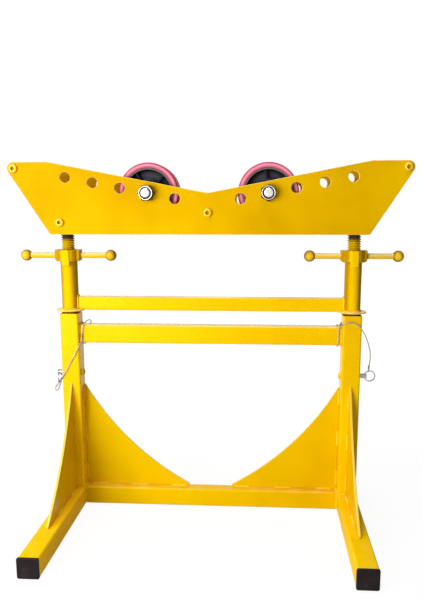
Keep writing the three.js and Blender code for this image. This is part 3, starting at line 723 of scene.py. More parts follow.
class Effects:
    """Surface effects that several finishes share, each built once."""

    _made: dict[str, bpy.types.NodeTree] = {}

    @classmethod
    def place(cls, graph: Graph, name: str, **values: float) -> bpy.types.Node:
        """Places a shared effect in a material.

        Args:
            graph: The material's graph.
            name: The effect's name.
            **values: Values for its inputs.

        Returns:
            The group node.
        """
        if name not in cls._made:
            cls._made[name] = getattr(cls, f"_build_{name.lower()}")()
        node = graph.add("ShaderNodeGroup", node_tree=cls._made[name])
        for key, value in values.items():
            node.inputs[key].default_value = value
        return node

    @staticmethod
    def _build_blotches() -> bpy.types.NodeTree:
        """Builds slow, soft changes of tone."""
        graph = shader_group("Blotches", {"Scale": 6, "Low": 0.35, "High": 0.7}, ["Mask"])
        inputs = graph.tree.nodes["Inputs"].outputs
        value = graph.noise(graph.object_place(), inputs["Scale"], 3)
        mask = graph.ramp(value, inputs["Low"], inputs["High"])
        graph.feed(graph.tree.nodes["Outputs"].inputs["Mask"], mask)
        return graph.tree

    @staticmethod
    def _build_grain() -> bpy.types.NodeTree:
        """Builds a fine, even unevenness for bumps and roughness."""
        graph = shader_group("Grain", {"Scale": 400}, ["Height"])
        inputs = graph.tree.nodes["Inputs"].outputs
        value = graph.noise(graph.object_place(), inputs["Scale"], 2)
        graph.feed(graph.tree.nodes["Outputs"].inputs["Height"], value)
        return graph.tree

    @staticmethod
    def _build_scuffs() -> bpy.types.NodeTree:
        """Builds thin scratches that run two ways."""
        graph = shader_group("Scuffs", {"Scale": 60, "Amount": 0.3}, ["Mask"])
        inputs = graph.tree.nodes["Inputs"].outputs
        place = graph.object_place()
        lines = []
        for stretch in ((1.0, 1.0, 9.0), (8.0, 2.0, 1.0)):
            value = graph.noise(graph.stretched(place, stretch), inputs["Scale"], 3)
            ridge = graph.math("ABSOLUTE", graph.math("SUBTRACT", value, 0.5))
            lines.append(graph.math("SUBTRACT", 1.0, graph.ramp(ridge, 0.0, 0.012)))
        patches = graph.ramp(graph.noise(place, 18.0, 1), 0.45, 0.65)
        both = graph.math("MULTIPLY", graph.math("MAXIMUM", *lines), patches)
        graph.feed(
            graph.tree.nodes["Outputs"].inputs["Mask"], graph.math("MULTIPLY", both, inputs["Amount"])
        )
        return graph.tree

    @staticmethod
    def _build_facing() -> bpy.types.NodeTree:
        """Builds a mask of the faces that look forwards or backwards."""
        graph = shader_group("Facing", {"Low": 0.3, "High": 0.85}, ["Mask"])
        inputs = graph.tree.nodes["Inputs"].outputs
        split = graph.add("ShaderNodeSeparateXYZ")
        graph.feed(split.inputs[0], graph.add("ShaderNodeNewGeometry").outputs["Normal"])
        mask = graph.ramp(graph.math("ABSOLUTE", split.outputs["Y"]), inputs["Low"], inputs["High"])
        graph.feed(graph.tree.nodes["Outputs"].inputs["Mask"], mask)
        return graph.tree

    @staticmethod
    def _build_dust() -> bpy.types.NodeTree:
        """Builds a mask on faces that look up, in patches where Even is low: a thin dusting, and with a high Even a
        painted highlight on top faces.
        """
        graph = shader_group("Dust", {"Amount": 0.2, "Even": 0.0, "Low": 0.3, "High": 0.9}, ["Mask"])
        inputs = graph.tree.nodes["Inputs"].outputs
        normal = graph.add("ShaderNodeNewGeometry").outputs["Normal"]
        split = graph.add("ShaderNodeSeparateXYZ")
        graph.feed(split.inputs[0], normal)
        up = graph.ramp(split.outputs["Z"], inputs["Low"], inputs["High"])
        patches = graph.ramp(graph.noise(graph.object_place(), 35.0, 4), 0.4, 0.7)
        patches = graph.math("MAXIMUM", patches, inputs["Even"])
        mask = graph.math("MULTIPLY", graph.math("MULTIPLY", up, patches), inputs["Amount"])
        graph.feed(graph.tree.nodes["Outputs"].inputs["Mask"], mask)
        return graph.tree


# Finishes


@dataclass(frozen=True)
class Finish:
    """A surface finish with its own material."""

    name: str
    slot: Slot
    colour: Colour
    deep: Colour
    roughness: float
    # flank: colour painted on faces that turn aside from the front, by the facing range of the normal's Y: painted
    # shade where it is dark, a painted highlight where it is pale
    flank: Colour | None = None
    facing: Point2 = (0.3, 0.85)

    def material(self) -> bpy.types.Material:
        """Gives the finish's material, made at its first use."""
        found = bpy.data.materials.get(self.name)
        if found:
            return found
        material = bpy.data.materials.new(self.name)
        material.use_nodes = True
        graph = Graph(material.node_tree)
        self.dress(graph, material.node_tree.nodes["Principled BSDF"])
        return material

    def dress(self, graph: Graph, shader: bpy.types.Node) -> None:
        """Builds the nodes that feed the shader."""
        raise NotImplementedError

    def tone(self, graph: Graph, shader: bpy.types.Node, scale: float) -> bpy.types.NodeSocket:
        """Gives the finish's colour, blotched with its deeper tone and given the flank colour on faces that turn aside:
        painted shade where the flank colour is dark, a painted highlight where it is pale.

        Args:
            graph: The material's graph.
            shader: The material's shader.
            scale: Scale of the blotches.

        Returns:
            The colour's socket, which is also joined to the shader.
        """
        mask = Effects.place(graph, "Blotches", Scale=scale).outputs["Mask"]
        colour = graph.mix(mask, self.colour, self.deep)
        if self.flank:
            low, high = self.facing
            mask = Effects.place(graph, "Facing", Low=low, High=high).outputs["Mask"]
            # Painted shade on faces that turn aside, a painted highlight where the flank colour is pale
            colour = graph.mix(mask, self.flank, colour)
        graph.feed(shader.inputs["Base Color"], colour)
        return colour

    def uneven(
        self, graph: Graph, shader: bpy.types.Node, scale: float, strength: float, depth: float, spread: float
    ) -> bpy.types.NodeSocket:
        """Gives the surface its fine bumps and uneven gloss.

        Args:
            graph: The material's graph.
            shader: The material's shader.
            scale: Scale of the grain.
            strength: Strength of the bumps.
            depth: Depth of the bumps, in metres.
            spread: How far the roughness varies.

        Returns:
            The grain's socket.
        """
        grain = Effects.place(graph, "Grain", Scale=scale).outputs["Height"]
        bump = graph.add("ShaderNodeBump")
        bump.inputs["Strength"].default_value = strength
        bump.inputs["Distance"].default_value = depth
        graph.feed(bump.inputs["Height"], grain)
        graph.feed(shader.inputs["Normal"], bump.outputs[0])
        rough = graph.math("MULTIPLY_ADD", grain, spread, self.roughness - spread / 2)
        graph.feed(shader.inputs["Roughness"], rough)
        return grain


@dataclass(frozen=True)
class Enamel(Finish):
    """Gloss paint with orange peel, soft blotches and a paler colour on faces that look up: a thin dusting where its
    amount is low, a painted highlight on top faces where it is high.
    """

    gloss: float = 0.5
    coat: float = 0.0
    glint: Colour = (1.0, 0.70, 0.04)
    # Paler colour on faces that look up, and its amount: dusting, and a painted highlight on top faces where the amount
    # is high
    dust: Colour = (1.0, 0.88, 0.42)
    dust_and_highlight_amount: float = 0.16
    upward: Point2 = (0.3, 0.9)
    blotch: float = 7.0

    def dress(self, graph: Graph, shader: bpy.types.Node) -> None:
        """Builds the paint."""
        colour = self.tone(graph, shader, self.blotch)
        low, high = self.upward
        # Paler on faces that look up: dusting, and a painted highlight on top faces
        dust = Effects.place(graph, "Dust", Amount=self.dust_and_highlight_amount, Even=self.dust_and_highlight_amount, Low=low, High=high).outputs["Mask"]
        graph.feed(shader.inputs["Base Color"], graph.mix(dust, colour, self.dust))
        self.uneven(graph, shader, 260.0, 0.10, 0.0006, 0.12)
        shader.inputs["Specular IOR Level"].default_value = self.gloss
        shader.inputs["Specular Tint"].default_value = (*self.glint, 1)
        shader.inputs["Coat Weight"].default_value = self.coat
        shader.inputs["Coat Roughness"].default_value = 0.12


@dataclass(frozen=True)
class Casting(Enamel):
    """Painted casting, brighter where it stands proud at the front and the rear: a painted highlight on the tabs."""

    proud: Point2 = (0.0195, 0.0225)
    painted_tab_highlight: Colour = (0.95, 0.58, 0.0)

    def dress(self, graph: Graph, shader: bpy.types.Node) -> None:
        """Builds the paint, then the painted highlight on its tabs."""
        super().dress(graph, shader)
        colour = shader.inputs["Base Color"].links[0].from_socket
        split = graph.add("ShaderNodeSeparateXYZ")
        graph.feed(split.inputs[0], graph.object_place())
        # Painted highlight where the tabs stand proud at the front and the rear
        mask = graph.ramp(graph.math("ABSOLUTE", split.outputs["Y"]), *self.proud)
        graph.feed(shader.inputs["Base Color"], graph.mix(mask, colour, self.painted_tab_highlight))


@dataclass(frozen=True)
class BareMetal(Finish):
    """Bright or machined metal with fine scuffs."""

    def dress(self, graph: Graph, shader: bpy.types.Node) -> None:
        """Builds the metal."""
        colour = self.tone(graph, shader, 45.0)
        scuffs = Effects.place(graph, "Scuffs", Scale=220.0, Amount=0.45).outputs["Mask"]
        graph.feed(shader.inputs["Base Color"], graph.mix(scuffs, colour, self.deep))
        self.uneven(graph, shader, 900.0, 0.08, 0.0002, 0.18)
        shader.inputs["Metallic"].default_value = 1.0


@dataclass(frozen=True)
class Screw(Finish):
    """Machined thread, bare steel below and oversprayed with paint under the head, darker in the thread roots from
    grime and painted shade, and darkest just under the head from painted shadow.
    """

    axis_x: float = 0.3025
    crest: float = 0.014
    root: float = 0.0114
    spray_low: float = 0.52
    spray_high: float = 0.56
    # Heights over which the thread darkens to the deep tone: painted shadow under the head
    bare: Point2 = (0.590, 0.599)
    spray: Colour = (0.74, 0.47, 0.0)
    # Darker colour in the roots of the sprayed thread: painted shade
    groove: Colour = (0.52, 0.30, 0.0)

    def dress(self, graph: Graph, shader: bpy.types.Node) -> None:
        """Builds the steel, the overspray, the thread roots darkened with grime and painted shade, and the painted
        shadow under the head.
        """
        steel = self.tone(graph, shader, 60.0)
        split = graph.add("ShaderNodeSeparateXYZ")
        graph.feed(split.inputs[0], graph.object_place())
        aside = graph.math("SUBTRACT", graph.math("ABSOLUTE", split.outputs["X"]), self.axis_x)
        crest = graph.ramp(graph.distance(aside, split.outputs["Y"]), self.root, self.crest)
        sprayed = graph.ramp(split.outputs["Z"], self.spray_low, self.spray_high)
        painted = graph.mix(crest, self.groove, self.spray)
        # Bare steel darker in its roots: oily grime and painted shade
        steel_root_grime_and_shade = graph.mix(crest, self.deep, steel)
        colour = graph.mix(sprayed, steel_root_grime_and_shade, painted)
        # Painted shadow under the head
        shaded = graph.ramp(split.outputs["Z"], *self.bare)
        graph.feed(shader.inputs["Base Color"], graph.mix(shaded, colour, self.deep))
        shader.inputs["Specular IOR Level"].default_value = 0.15
        shader.inputs["Specular Tint"].default_value = (*self.spray, 1)
        graph.feed(shader.inputs["Metallic"], graph.math("SUBTRACT", 1.0, sprayed))
        self.uneven(graph, shader, 700.0, 0.1, 0.0002, 0.2)


@dataclass(frozen=True)
class Moulding(Finish):
    """Moulded plastic or polyurethane with fine scuffs."""

    scuff: Colour = (0.3, 0.3, 0.3)
    scuff_amount: float = 0.3
    grain: float = 500.0
    gloss: float = 0.4

    def dress(self, graph: Graph, shader: bpy.types.Node) -> None:
        """Builds the moulded surface."""
        colour = self.tone(graph, shader, 20.0)
        scuffs = Effects.place(graph, "Scuffs", Scale=90.0, Amount=self.scuff_amount).outputs["Mask"]
        graph.feed(shader.inputs["Base Color"], graph.mix(scuffs, colour, self.scuff))
        self.uneven(graph, shader, self.grain, 0.15, 0.0003, 0.15)
        shader.inputs["Specular IOR Level"].default_value = self.gloss


AXLE: Point2 = (0.12335, 0.6898)


@dataclass(frozen=True)
class Tread(Moulding):
    """Smooth polyurethane with a painted highlight, a pale band round the middle of its side faces."""

    axle: Point2 = AXLE
    painted_tread_highlight: Colour = (0.98, 0.46, 0.58)
    highlight_share: float = 0.7
    highlight_radius: float = 0.0568
    highlight_half_width: float = 0.0028

    def dress(self, graph: Graph, shader: bpy.types.Node) -> None:
        """Builds the tread, then its painted highlight."""
        super().dress(graph, shader)
        colour = shader.inputs["Base Color"].links[0].from_socket
        # Painted highlight: a pale band at one radius on the side faces
        away = graph.math("SUBTRACT", graph.round_axle(self.axle)[0], self.highlight_radius)
        band = graph.ramp(graph.math("ABSOLUTE", away), self.highlight_half_width, 0.0)
        mask = graph.math("MULTIPLY", band, self.highlight_share)
        graph.feed(shader.inputs["Base Color"], graph.mix(mask, colour, self.painted_tread_highlight))


@dataclass(frozen=True)
class Wheel(Moulding):
    """A moulded wheel whose dark pockets between the ribs are paler than the near-black ribs (painted shade on the
    ribs) and darken towards the rim (painted shadow), with a paler rim (painted highlight).
    """

    axle: Point2 = AXLE
    # A paler, lit copy of the near-black nylon for the web; the base colour on ribs, hub and rim is the shaded copy,
    # painted shade
    pocket: Colour = (0.055, 0.056, 0.078)
    pocket_depth: Point2 = (0.009, 0.012)
    # The web darkens to the deep tone towards the rim: painted shadow
    shaded_radius: Point2 = (0.038, 0.046)
    # A pale grey ring on the rim: painted highlight
    painted_rim_highlight: Colour = (0.16, 0.135, 0.14)
    rim_highlight_radius: Point2 = (0.0478, 0.0484)

    def dress(self, graph: Graph, shader: bpy.types.Node) -> None:
        """Builds the moulding, then its pockets, which darken outwards as painted shadow under the rim, and the painted
        highlight on its rim.
        """
        super().dress(graph, shader)
        colour = shader.inputs["Base Color"].links[0].from_socket
        radius, depth = graph.round_axle(self.axle)
        pocket = graph.mix(graph.ramp(radius, *self.shaded_radius), self.pocket, self.deep)
        shown = graph.ramp(depth, *self.pocket_depth)
        rim = graph.ramp(radius, *self.rim_highlight_radius)
        colour = graph.mix(rim, graph.mix(shown, pocket, colour), self.painted_rim_highlight)
        graph.feed(shader.inputs["Base Color"], colour)


# PAINT's paler colour on up-facing faces is a painted highlight on top faces, with some dusting
PAINT = Enamel(
    "YellowEnamel", Slot.PAINT, (0.94, 0.57, 0.0), (0.87, 0.50, 0.0), 0.28, dust=(1.0, 0.90, 0.40), dust_and_highlight_amount=0.85
)
# The paler colour on up-facing chamfers is a painted highlight
SHEET = Enamel(
    "SheetEnamel", Slot.PAINT, (0.81, 0.50, 0.0), (0.71, 0.43, 0.0), 0.34, gloss=0.12, dust_and_highlight_amount=0.6,
    dust=(1.0, 0.84, 0.30), upward=(0.1, 0.6),
)
BEAM = Enamel("BeamEnamel", Slot.PAINT, (0.85, 0.52, 0.0), (0.74, 0.43, 0.0), 0.34, gloss=0.12, dust_and_highlight_amount=0.2)
# The pale flank colour is a painted highlight on the chamfers and hole walls
PLATE = Enamel(
    "PlateEnamel", Slot.PAINT, (0.85, 0.50, 0.0), (0.64, 0.335, 0.0), 0.34, (1.0, 0.78, 0.22), (0.55, 0.8),
    gloss=0.12, blotch=4.5,
)
RAIL = Enamel("RailEnamel", Slot.PAINT, (0.93, 0.57, 0.0), (0.84, 0.50, 0.0), 0.5, gloss=0.02, dust_and_highlight_amount=0.05)
# The dark flank colour is painted shade on the pipe's sides
PIPE = Enamel(
    "PipeEnamel", Slot.PAINT, (0.95, 0.58, 0.0), (0.86, 0.49, 0.0), 0.28, (0.50, 0.26, 0.0), (0.7, 0.98), gloss=0.03
)
# A darker copy of the yellow paint: painted shade over the casting, lifted on the tabs by their painted highlight; the
# flank colour is painted shade on faces that turn aside
CASTING = Casting(
    "CastEnamel", Slot.PAINT, (0.62, 0.34, 0.0), (0.48, 0.25, 0.0), 0.32, (0.30, 0.15, 0.0), (0.1, 0.8),
    gloss=0.1, dust_and_highlight_amount=0.5,
)
# The paler upper side of the bar is a painted highlight and the dark flank colour painted shade
HANDLE = Enamel(
    "HandleEnamel", Slot.PAINT, (0.88, 0.55, 0.02), (0.82, 0.48, 0.0), 0.26, (0.34, 0.20, 0.0), (0.1, 0.8),
    gloss=0.12, dust=(1.0, 0.90, 0.50), dust_and_highlight_amount=0.7, upward=(-0.2, 0.5),
)
# The dark flank colour is painted shade round the ball's edge
BALL = Enamel(
    "BallEnamel", Slot.PAINT, (0.95, 0.63, 0.04), (0.90, 0.54, 0.01), 0.24, (0.24, 0.12, 0.0), (0.45, 1.0),
    gloss=0.04, dust_and_highlight_amount=0.15,
)
SHADE = Enamel("ShadedEnamel", Slot.PAINT, (0.13, 0.07, 0.0), (0.09, 0.045, 0.0), 0.5, gloss=0.05)
BEAD = Enamel("PaintedBead", Slot.PAINT, (0.97, 0.64, 0.03), (0.90, 0.54, 0.0), 0.26, gloss=0.15, dust_and_highlight_amount=0.3)
# The dark flank colour is painted shade round the dome's edge
BUTTON = Enamel(
    "GlossButton", Slot.PAINT, (0.95, 0.65, 0.06), (0.93, 0.58, 0.03), 0.18, (0.50, 0.27, 0.0), coat=0.3
)
# The dark flank colours of ZINC, BOLT and NUT are painted shade on faces that turn aside
ZINC = BareMetal("BrightZinc", Slot.ZINC, (0.46, 0.46, 0.46), (0.28, 0.28, 0.28), 0.26, (0.10, 0.095, 0.095))
BOLT = BareMetal(
    "PlatedBolt", Slot.ZINC, (0.88, 0.86, 0.83), (0.72, 0.69, 0.66), 0.24, (0.16, 0.13, 0.12), (0.5, 0.9)
)
NUT = BareMetal(
    "PlatedNut", Slot.ZINC, (0.76, 0.74, 0.71), (0.60, 0.56, 0.53), 0.24, (0.11, 0.04, 0.03), (0.9, 0.985)
)
# Its deep tone darkens the thread roots, grime and painted shade, and the top under the head, painted shadow
THREAD = Screw("JackThread", Slot.SCREW, (0.42, 0.40, 0.36), (0.06, 0.035, 0.02), 0.42)
# The crimson flank colour is painted shade on the rounded shoulders
TREAD = Tread(
    "PinkTread", Slot.TREAD, (0.66, 0.14, 0.225), (0.60, 0.11, 0.185), 0.36, (0.34, 0.008, 0.055), (0.6, 0.98),
    gloss=0.02,
)
# Near-black nylon on ribs, hub and rim with a paler web: painted shade on the ribs, painted shadow and highlight at the
# rim
CORE = Wheel(
    "DarkNylon", Slot.CORE, (0.018, 0.017, 0.024), (0.006, 0.006, 0.008), 0.5, scuff=(0.03, 0.03, 0.04), gloss=0.1
)
CAP = Moulding("BlackPlastic", Slot.CAP, (0.018, 0.011, 0.011), (0.007, 0.004, 0.004), 0.42, gloss=0.12)
BRONZE = BareMetal("PlainBronze", Slot.BRONZE, (0.52, 0.33, 0.13), (0.36, 0.21, 0.08), 0.36)
ROPE = BareMetal("GalvanisedRope", Slot.ROPE, (0.50, 0.45, 0.37), (0.32, 0.29, 0.24), 0.42)


# Geometry node trees


@dataclass
class Recipe:
    """A geometry node tree with named inputs, run on one mesh at a time."""

    graph: Graph
    sockets: dict[str, str]

    @classmethod
    def start(cls, name: str, inputs: dict[str, str]) -> Recipe:
        """Starts a tree.

        Args:
            name: The tree's name.
            inputs: Names of the inputs and their socket types.

        Returns:
            The recipe, with its input and output nodes named Inputs and Outputs.
        """
        tree = bpy.data.node_groups.new(name, "GeometryNodeTree")
        tree.interface.new_socket(name="Geometry", in_out="INPUT", socket_type="NodeSocketGeometry")
        tree.interface.new_socket(name="Geometry", in_out="OUTPUT", socket_type="NodeSocketGeometry")
        sockets = {}
        for key, kind in {**inputs, "Material": "NodeSocketMaterial"}.items():
            socket = tree.interface.new_socket(name=key, in_out="INPUT", socket_type=kind)
            sockets[key] = socket.identifier
        graph = Graph(tree)
        graph.add("NodeGroupInput", name="Inputs")
        graph.add("NodeGroupOutput", name="Outputs")
        return cls(graph, sockets)

    def given(self, name: str) -> bpy.types.NodeSocket:
        """Gives the socket of one of the tree's inputs."""
        return self.graph.tree.nodes["Inputs"].outputs[name]

    def end(self, geometry: bpy.types.NodeSocket) -> None:
        """Realizes what was made, gives it its material and closes the tree."""
        whole = self.graph.add("GeometryNodeRealizeInstances")
        smooth = self.graph.add("GeometryNodeSetShadeSmooth")
        dressed = self.graph.add("GeometryNodeSetMaterial")
        self.graph.feed(whole.inputs["Geometry"], geometry)
        self.graph.feed(smooth.inputs["Geometry"], whole.outputs[0])
        self.graph.feed(dressed.inputs["Geometry"], smooth.outputs[0])
        self.graph.feed(dressed.inputs["Material"], self.given("Material"))
        self.graph.feed(self.graph.tree.nodes["Outputs"].inputs[0], dressed.outputs[0])

    def run(self, mesh: bpy.types.Mesh, finish: Finish, **values: object) -> bpy.types.Mesh:
        """Runs the tree.

        Args:
            mesh: The mesh that goes in, which is used up.
            finish: Finish of what comes out.
            **values: Values of the named inputs, with underscores for spaces.

        Returns:
            The plain mesh that comes out.
        """

        def add(holder: bpy.types.Object) -> None:
            """Adds the tree with its inputs set."""
            nodes = holder.modifiers.new("recipe", "NODES")
            nodes.node_group = self.graph.tree
            nodes[self.sockets["Material"]] = finish.material()
            for key, value in values.items():
                nodes[self.sockets[key.replace("_", " ")]] = value

        return with_modifiers(mesh, add)


def bead_recipe() -> Recipe:
    """Builds the tree that lays overlapping weld ripples along lines."""
    inputs = {"Width": "NodeSocketFloat", "Step": "NodeSocketFloat", "Seed": "NodeSocketInt"}
    recipe = Recipe.start("WeldBeads", inputs)
    graph = recipe.graph
    line = graph.add("GeometryNodeMeshToCurve")
    spots = graph.add("GeometryNodeCurveToPoints", mode="LENGTH")
    ripple = graph.add("GeometryNodeMeshIcoSphere")
    spread = graph.add("GeometryNodeInstanceOnPoints")
    vary = graph.add("FunctionNodeRandomValue", data_type="FLOAT_VECTOR")
    graph.feed(line.inputs["Mesh"], recipe.given("Geometry"))
    graph.feed(spots.inputs["Curve"], line.outputs[0])
    graph.feed(spots.inputs["Length"], recipe.given("Step"))
    graph.feed(ripple.inputs["Radius"], graph.math("DIVIDE", recipe.given("Width"), 2.0))
    graph.feed(ripple.inputs["Subdivisions"], 2)
    graph.feed(vary.inputs[0], (0.82, 0.82, 0.55))
    graph.feed(vary.inputs[1], (1.05, 1.05, 0.8))
    graph.feed(vary.inputs["Seed"], recipe.given("Seed"))
    graph.feed(spread.inputs["Points"], spots.outputs["Points"])
    graph.feed(spread.inputs["Instance"], ripple.outputs["Mesh"])
    graph.feed(spread.inputs["Rotation"], spots.outputs["Rotation"])
    graph.feed(spread.inputs["Scale"], vary.outputs[0])
    recipe.end(spread.outputs[0])
    return recipe


def thread_recipe() -> Recipe:
    """Builds the tree that winds a trapezoidal thread round a rod that stands on Z."""
    names = ("Radius", "Depth", "Pitch", "Length")
    recipe = Recipe.start("Thread", {**dict.fromkeys(names, "NodeSocketFloat"), "Rows": "NodeSocketInt"})
    graph = recipe.graph
    around = 37
    grid = graph.add("GeometryNodeMeshGrid")
    graph.feed(grid.inputs["Size X"], 1.0)
    graph.feed(grid.inputs["Size Y"], 1.0)
    graph.feed(grid.inputs["Vertices X"], around)
    graph.feed(grid.inputs["Vertices Y"], recipe.given("Rows"))
    split = graph.add("ShaderNodeSeparateXYZ")
    graph.feed(split.inputs[0], graph.add("GeometryNodeInputPosition").outputs[0])
    share = graph.math("ADD", split.outputs["X"], 0.5)
    rise = graph.math("ADD", split.outputs["Y"], 0.5)
    height = graph.math("MULTIPLY", rise, recipe.given("Length"))
    turns = graph.math("SUBTRACT", graph.math("DIVIDE", height, recipe.given("Pitch")), share)
    wave = graph.math("ABSOLUTE", graph.math("SUBTRACT", graph.math("FRACT", turns), 0.5))
    cut = graph.math("MULTIPLY", graph.ramp(wave, 0.15, 0.33), recipe.given("Depth"))
    from_end = graph.math("MINIMUM", height, graph.math("SUBTRACT", recipe.given("Length"), height))
    core = graph.math("SUBTRACT", recipe.given("Radius"), recipe.given("Depth"))
    flank = graph.math("SUBTRACT", recipe.given("Radius"), cut)
    radius = graph.math("MINIMUM", flank, graph.math("ADD", core, from_end))
    inside = graph.math("GREATER_THAN", from_end, 1e-6)
    radius = graph.math("MULTIPLY", radius, inside)
    angle = graph.math("MULTIPLY", share, TURN)
    spot = graph.add("ShaderNodeCombineXYZ")
    graph.feed(spot.inputs["X"], graph.math("MULTIPLY", radius, graph.math("COSINE", angle)))
    graph.feed(spot.inputs["Y"], graph.math("MULTIPLY", radius, graph.math("SINE", angle)))
    graph.feed(spot.inputs["Z"], height)
    place = graph.add("GeometryNodeSetPosition")
    graph.feed(place.inputs["Geometry"], grid.outputs["Mesh"])
    graph.feed(place.inputs["Position"], spot.outputs[0])
    weld = graph.add("GeometryNodeMergeByDistance")
    graph.feed(weld.inputs["Geometry"], place.outputs[0])
    graph.feed(weld.inputs["Distance"], 1e-6)
    recipe.end(weld.outputs[0])
    return recipe


def rib_recipe() -> Recipe:
    """Builds the tree that stands ribs round a roller core and joins them to it."""
    numbers = ("Length", "Width", "Thickness", "Middle", "Lean")
    recipe = Recipe.start("CoreRibs", {**dict.fromkeys(numbers, "NodeSocketFloat"), "Count": "NodeSocketInt"})
    graph = recipe.graph
    size = graph.add("ShaderNodeCombineXYZ")
    for socket, name in zip(size.inputs, ("Thickness", "Width", "Length")):
        graph.feed(socket, recipe.given(name))
    rib = graph.add("GeometryNodeMeshCube")
    graph.feed(rib.inputs["Size"], size.outputs[0])
    spots = graph.add("GeometryNodePoints")
    graph.feed(spots.inputs["Count"], recipe.given("Count"))
    index = graph.add("GeometryNodeInputIndex").outputs[0]
    share = graph.math("DIVIDE", index, recipe.given("Count"))
    angle = graph.math("ADD", graph.math("MULTIPLY", share, TURN), recipe.given("Lean"))
    spot = graph.add("ShaderNodeCombineXYZ")
    graph.feed(spot.inputs["X"], graph.math("MULTIPLY", graph.math("SINE", angle), recipe.given("Middle")))
    graph.feed(spot.inputs["Z"], graph.math("MULTIPLY", graph.math("COSINE", angle), recipe.given("Middle")))
    graph.feed(spots.inputs["Position"], spot.outputs[0])
    turn = graph.add("ShaderNodeCombineXYZ")
    graph.feed(turn.inputs["Y"], angle)
    spread = graph.add("GeometryNodeInstanceOnPoints")
    graph.feed(spread.inputs["Points"], spots.outputs[0])
    graph.feed(spread.inputs["Instance"], rib.outputs["Mesh"])
    graph.feed(spread.inputs["Rotation"], turn.outputs[0])
    whole = graph.add("GeometryNodeRealizeInstances")
    graph.feed(whole.inputs["Geometry"], spread.outputs[0])
    join = graph.add("GeometryNodeMeshBoolean", operation="UNION", solver="EXACT")
    graph.feed(join.inputs["Mesh 2"], recipe.given("Geometry"))
    graph.feed(join.inputs["Mesh 2"], whole.outputs[0])
    recipe.end(join.outputs["Mesh"])
    return recipe


def line_mesh(lines: Sequence[Sequence[Point3]]) -> bpy.types.Mesh:
    """Makes bare edges along lines.

    Args:
        lines: Each line's points, in millimetres.

    Returns:
        A mesh of edges, in metres.
    """
    mesh = bpy.data.meshes.new("lines")
    points = []
    edges = []
    for line in lines:
        start = len(points)
        points += [Vector(p) * MM for p in line]
        edges += [(start + i, start + i + 1) for i in range(len(line) - 1)]
    mesh.from_pydata(points, edges, [])
    return mesh


# Sub-assemblies


@dataclass(frozen=True)
class Stock:
    """Sizes that the sub-assemblies share."""

    post_x: float = 302.5
    box: float = 40.0
    wall: float = 2.0
    corner: float = 4.0
    beam_front: float = -10.0
    beam_back: float = 20.0
    post_top: float = 437.5
    beam_top: float = 412.5
    pin_height: float = 305.0
    pin_hole: float = 5.5
    tube_radius: float = 17.7
    tube_wall: float = 3.0
    tube_top: float = 549.0
    head_bottom: float = 606.8
    plate_inner: float = 33.0
    plate_outer: float = 39.0

    @property
    def half(self) -> float:
        """Half of the square tube's side."""
        return self.box / 2

    @property
    def inner_face(self) -> float:
        """Distance of the posts' inner faces from the middle."""
        return self.post_x - self.half


@dataclass
class PhotoCamera:
    """The camera of the photograph, found from the stand's own corners."""

    place: Point3 = (114.6535, -1353.6628, 643.3241)
    yaw: float = -0.0601
    pitch: float = 0.1759
    roll: float = 0.0001
    focal_pixels: float = 638.489
    middle: Point2 = (225.0, 330.0)
    frame: Point2 = (423.0, 600.0)
    sensor: float = 36.0

    def build(self) -> None:
        """Makes the camera and gives it to the scene."""
        data = bpy.data.cameras.new("photo_camera")
        longest = max(self.frame)
        data.sensor_width = self.sensor
        data.lens = self.focal_pixels * self.sensor / longest
        data.shift_x = (self.frame[0] / 2 - self.middle[0]) / longest
        data.shift_y = (self.middle[1] - self.frame[1] / 2) / longest
        camera = bpy.data.objects.new("photo_camera", data)
        turn = Matrix.Rotation(-self.yaw, 4, "Z")
        tilt = Matrix.Rotation(TURN / 4 - self.pitch, 4, "X")
        lean = Matrix.Rotation(-self.roll, 4, "Z")
        camera.matrix_world = Matrix.Translation(Vector(self.place) * MM) @ turn @ tilt @ lean
        bpy.context.scene.collection.objects.link(camera)
        bpy.context.scene.camera = camera


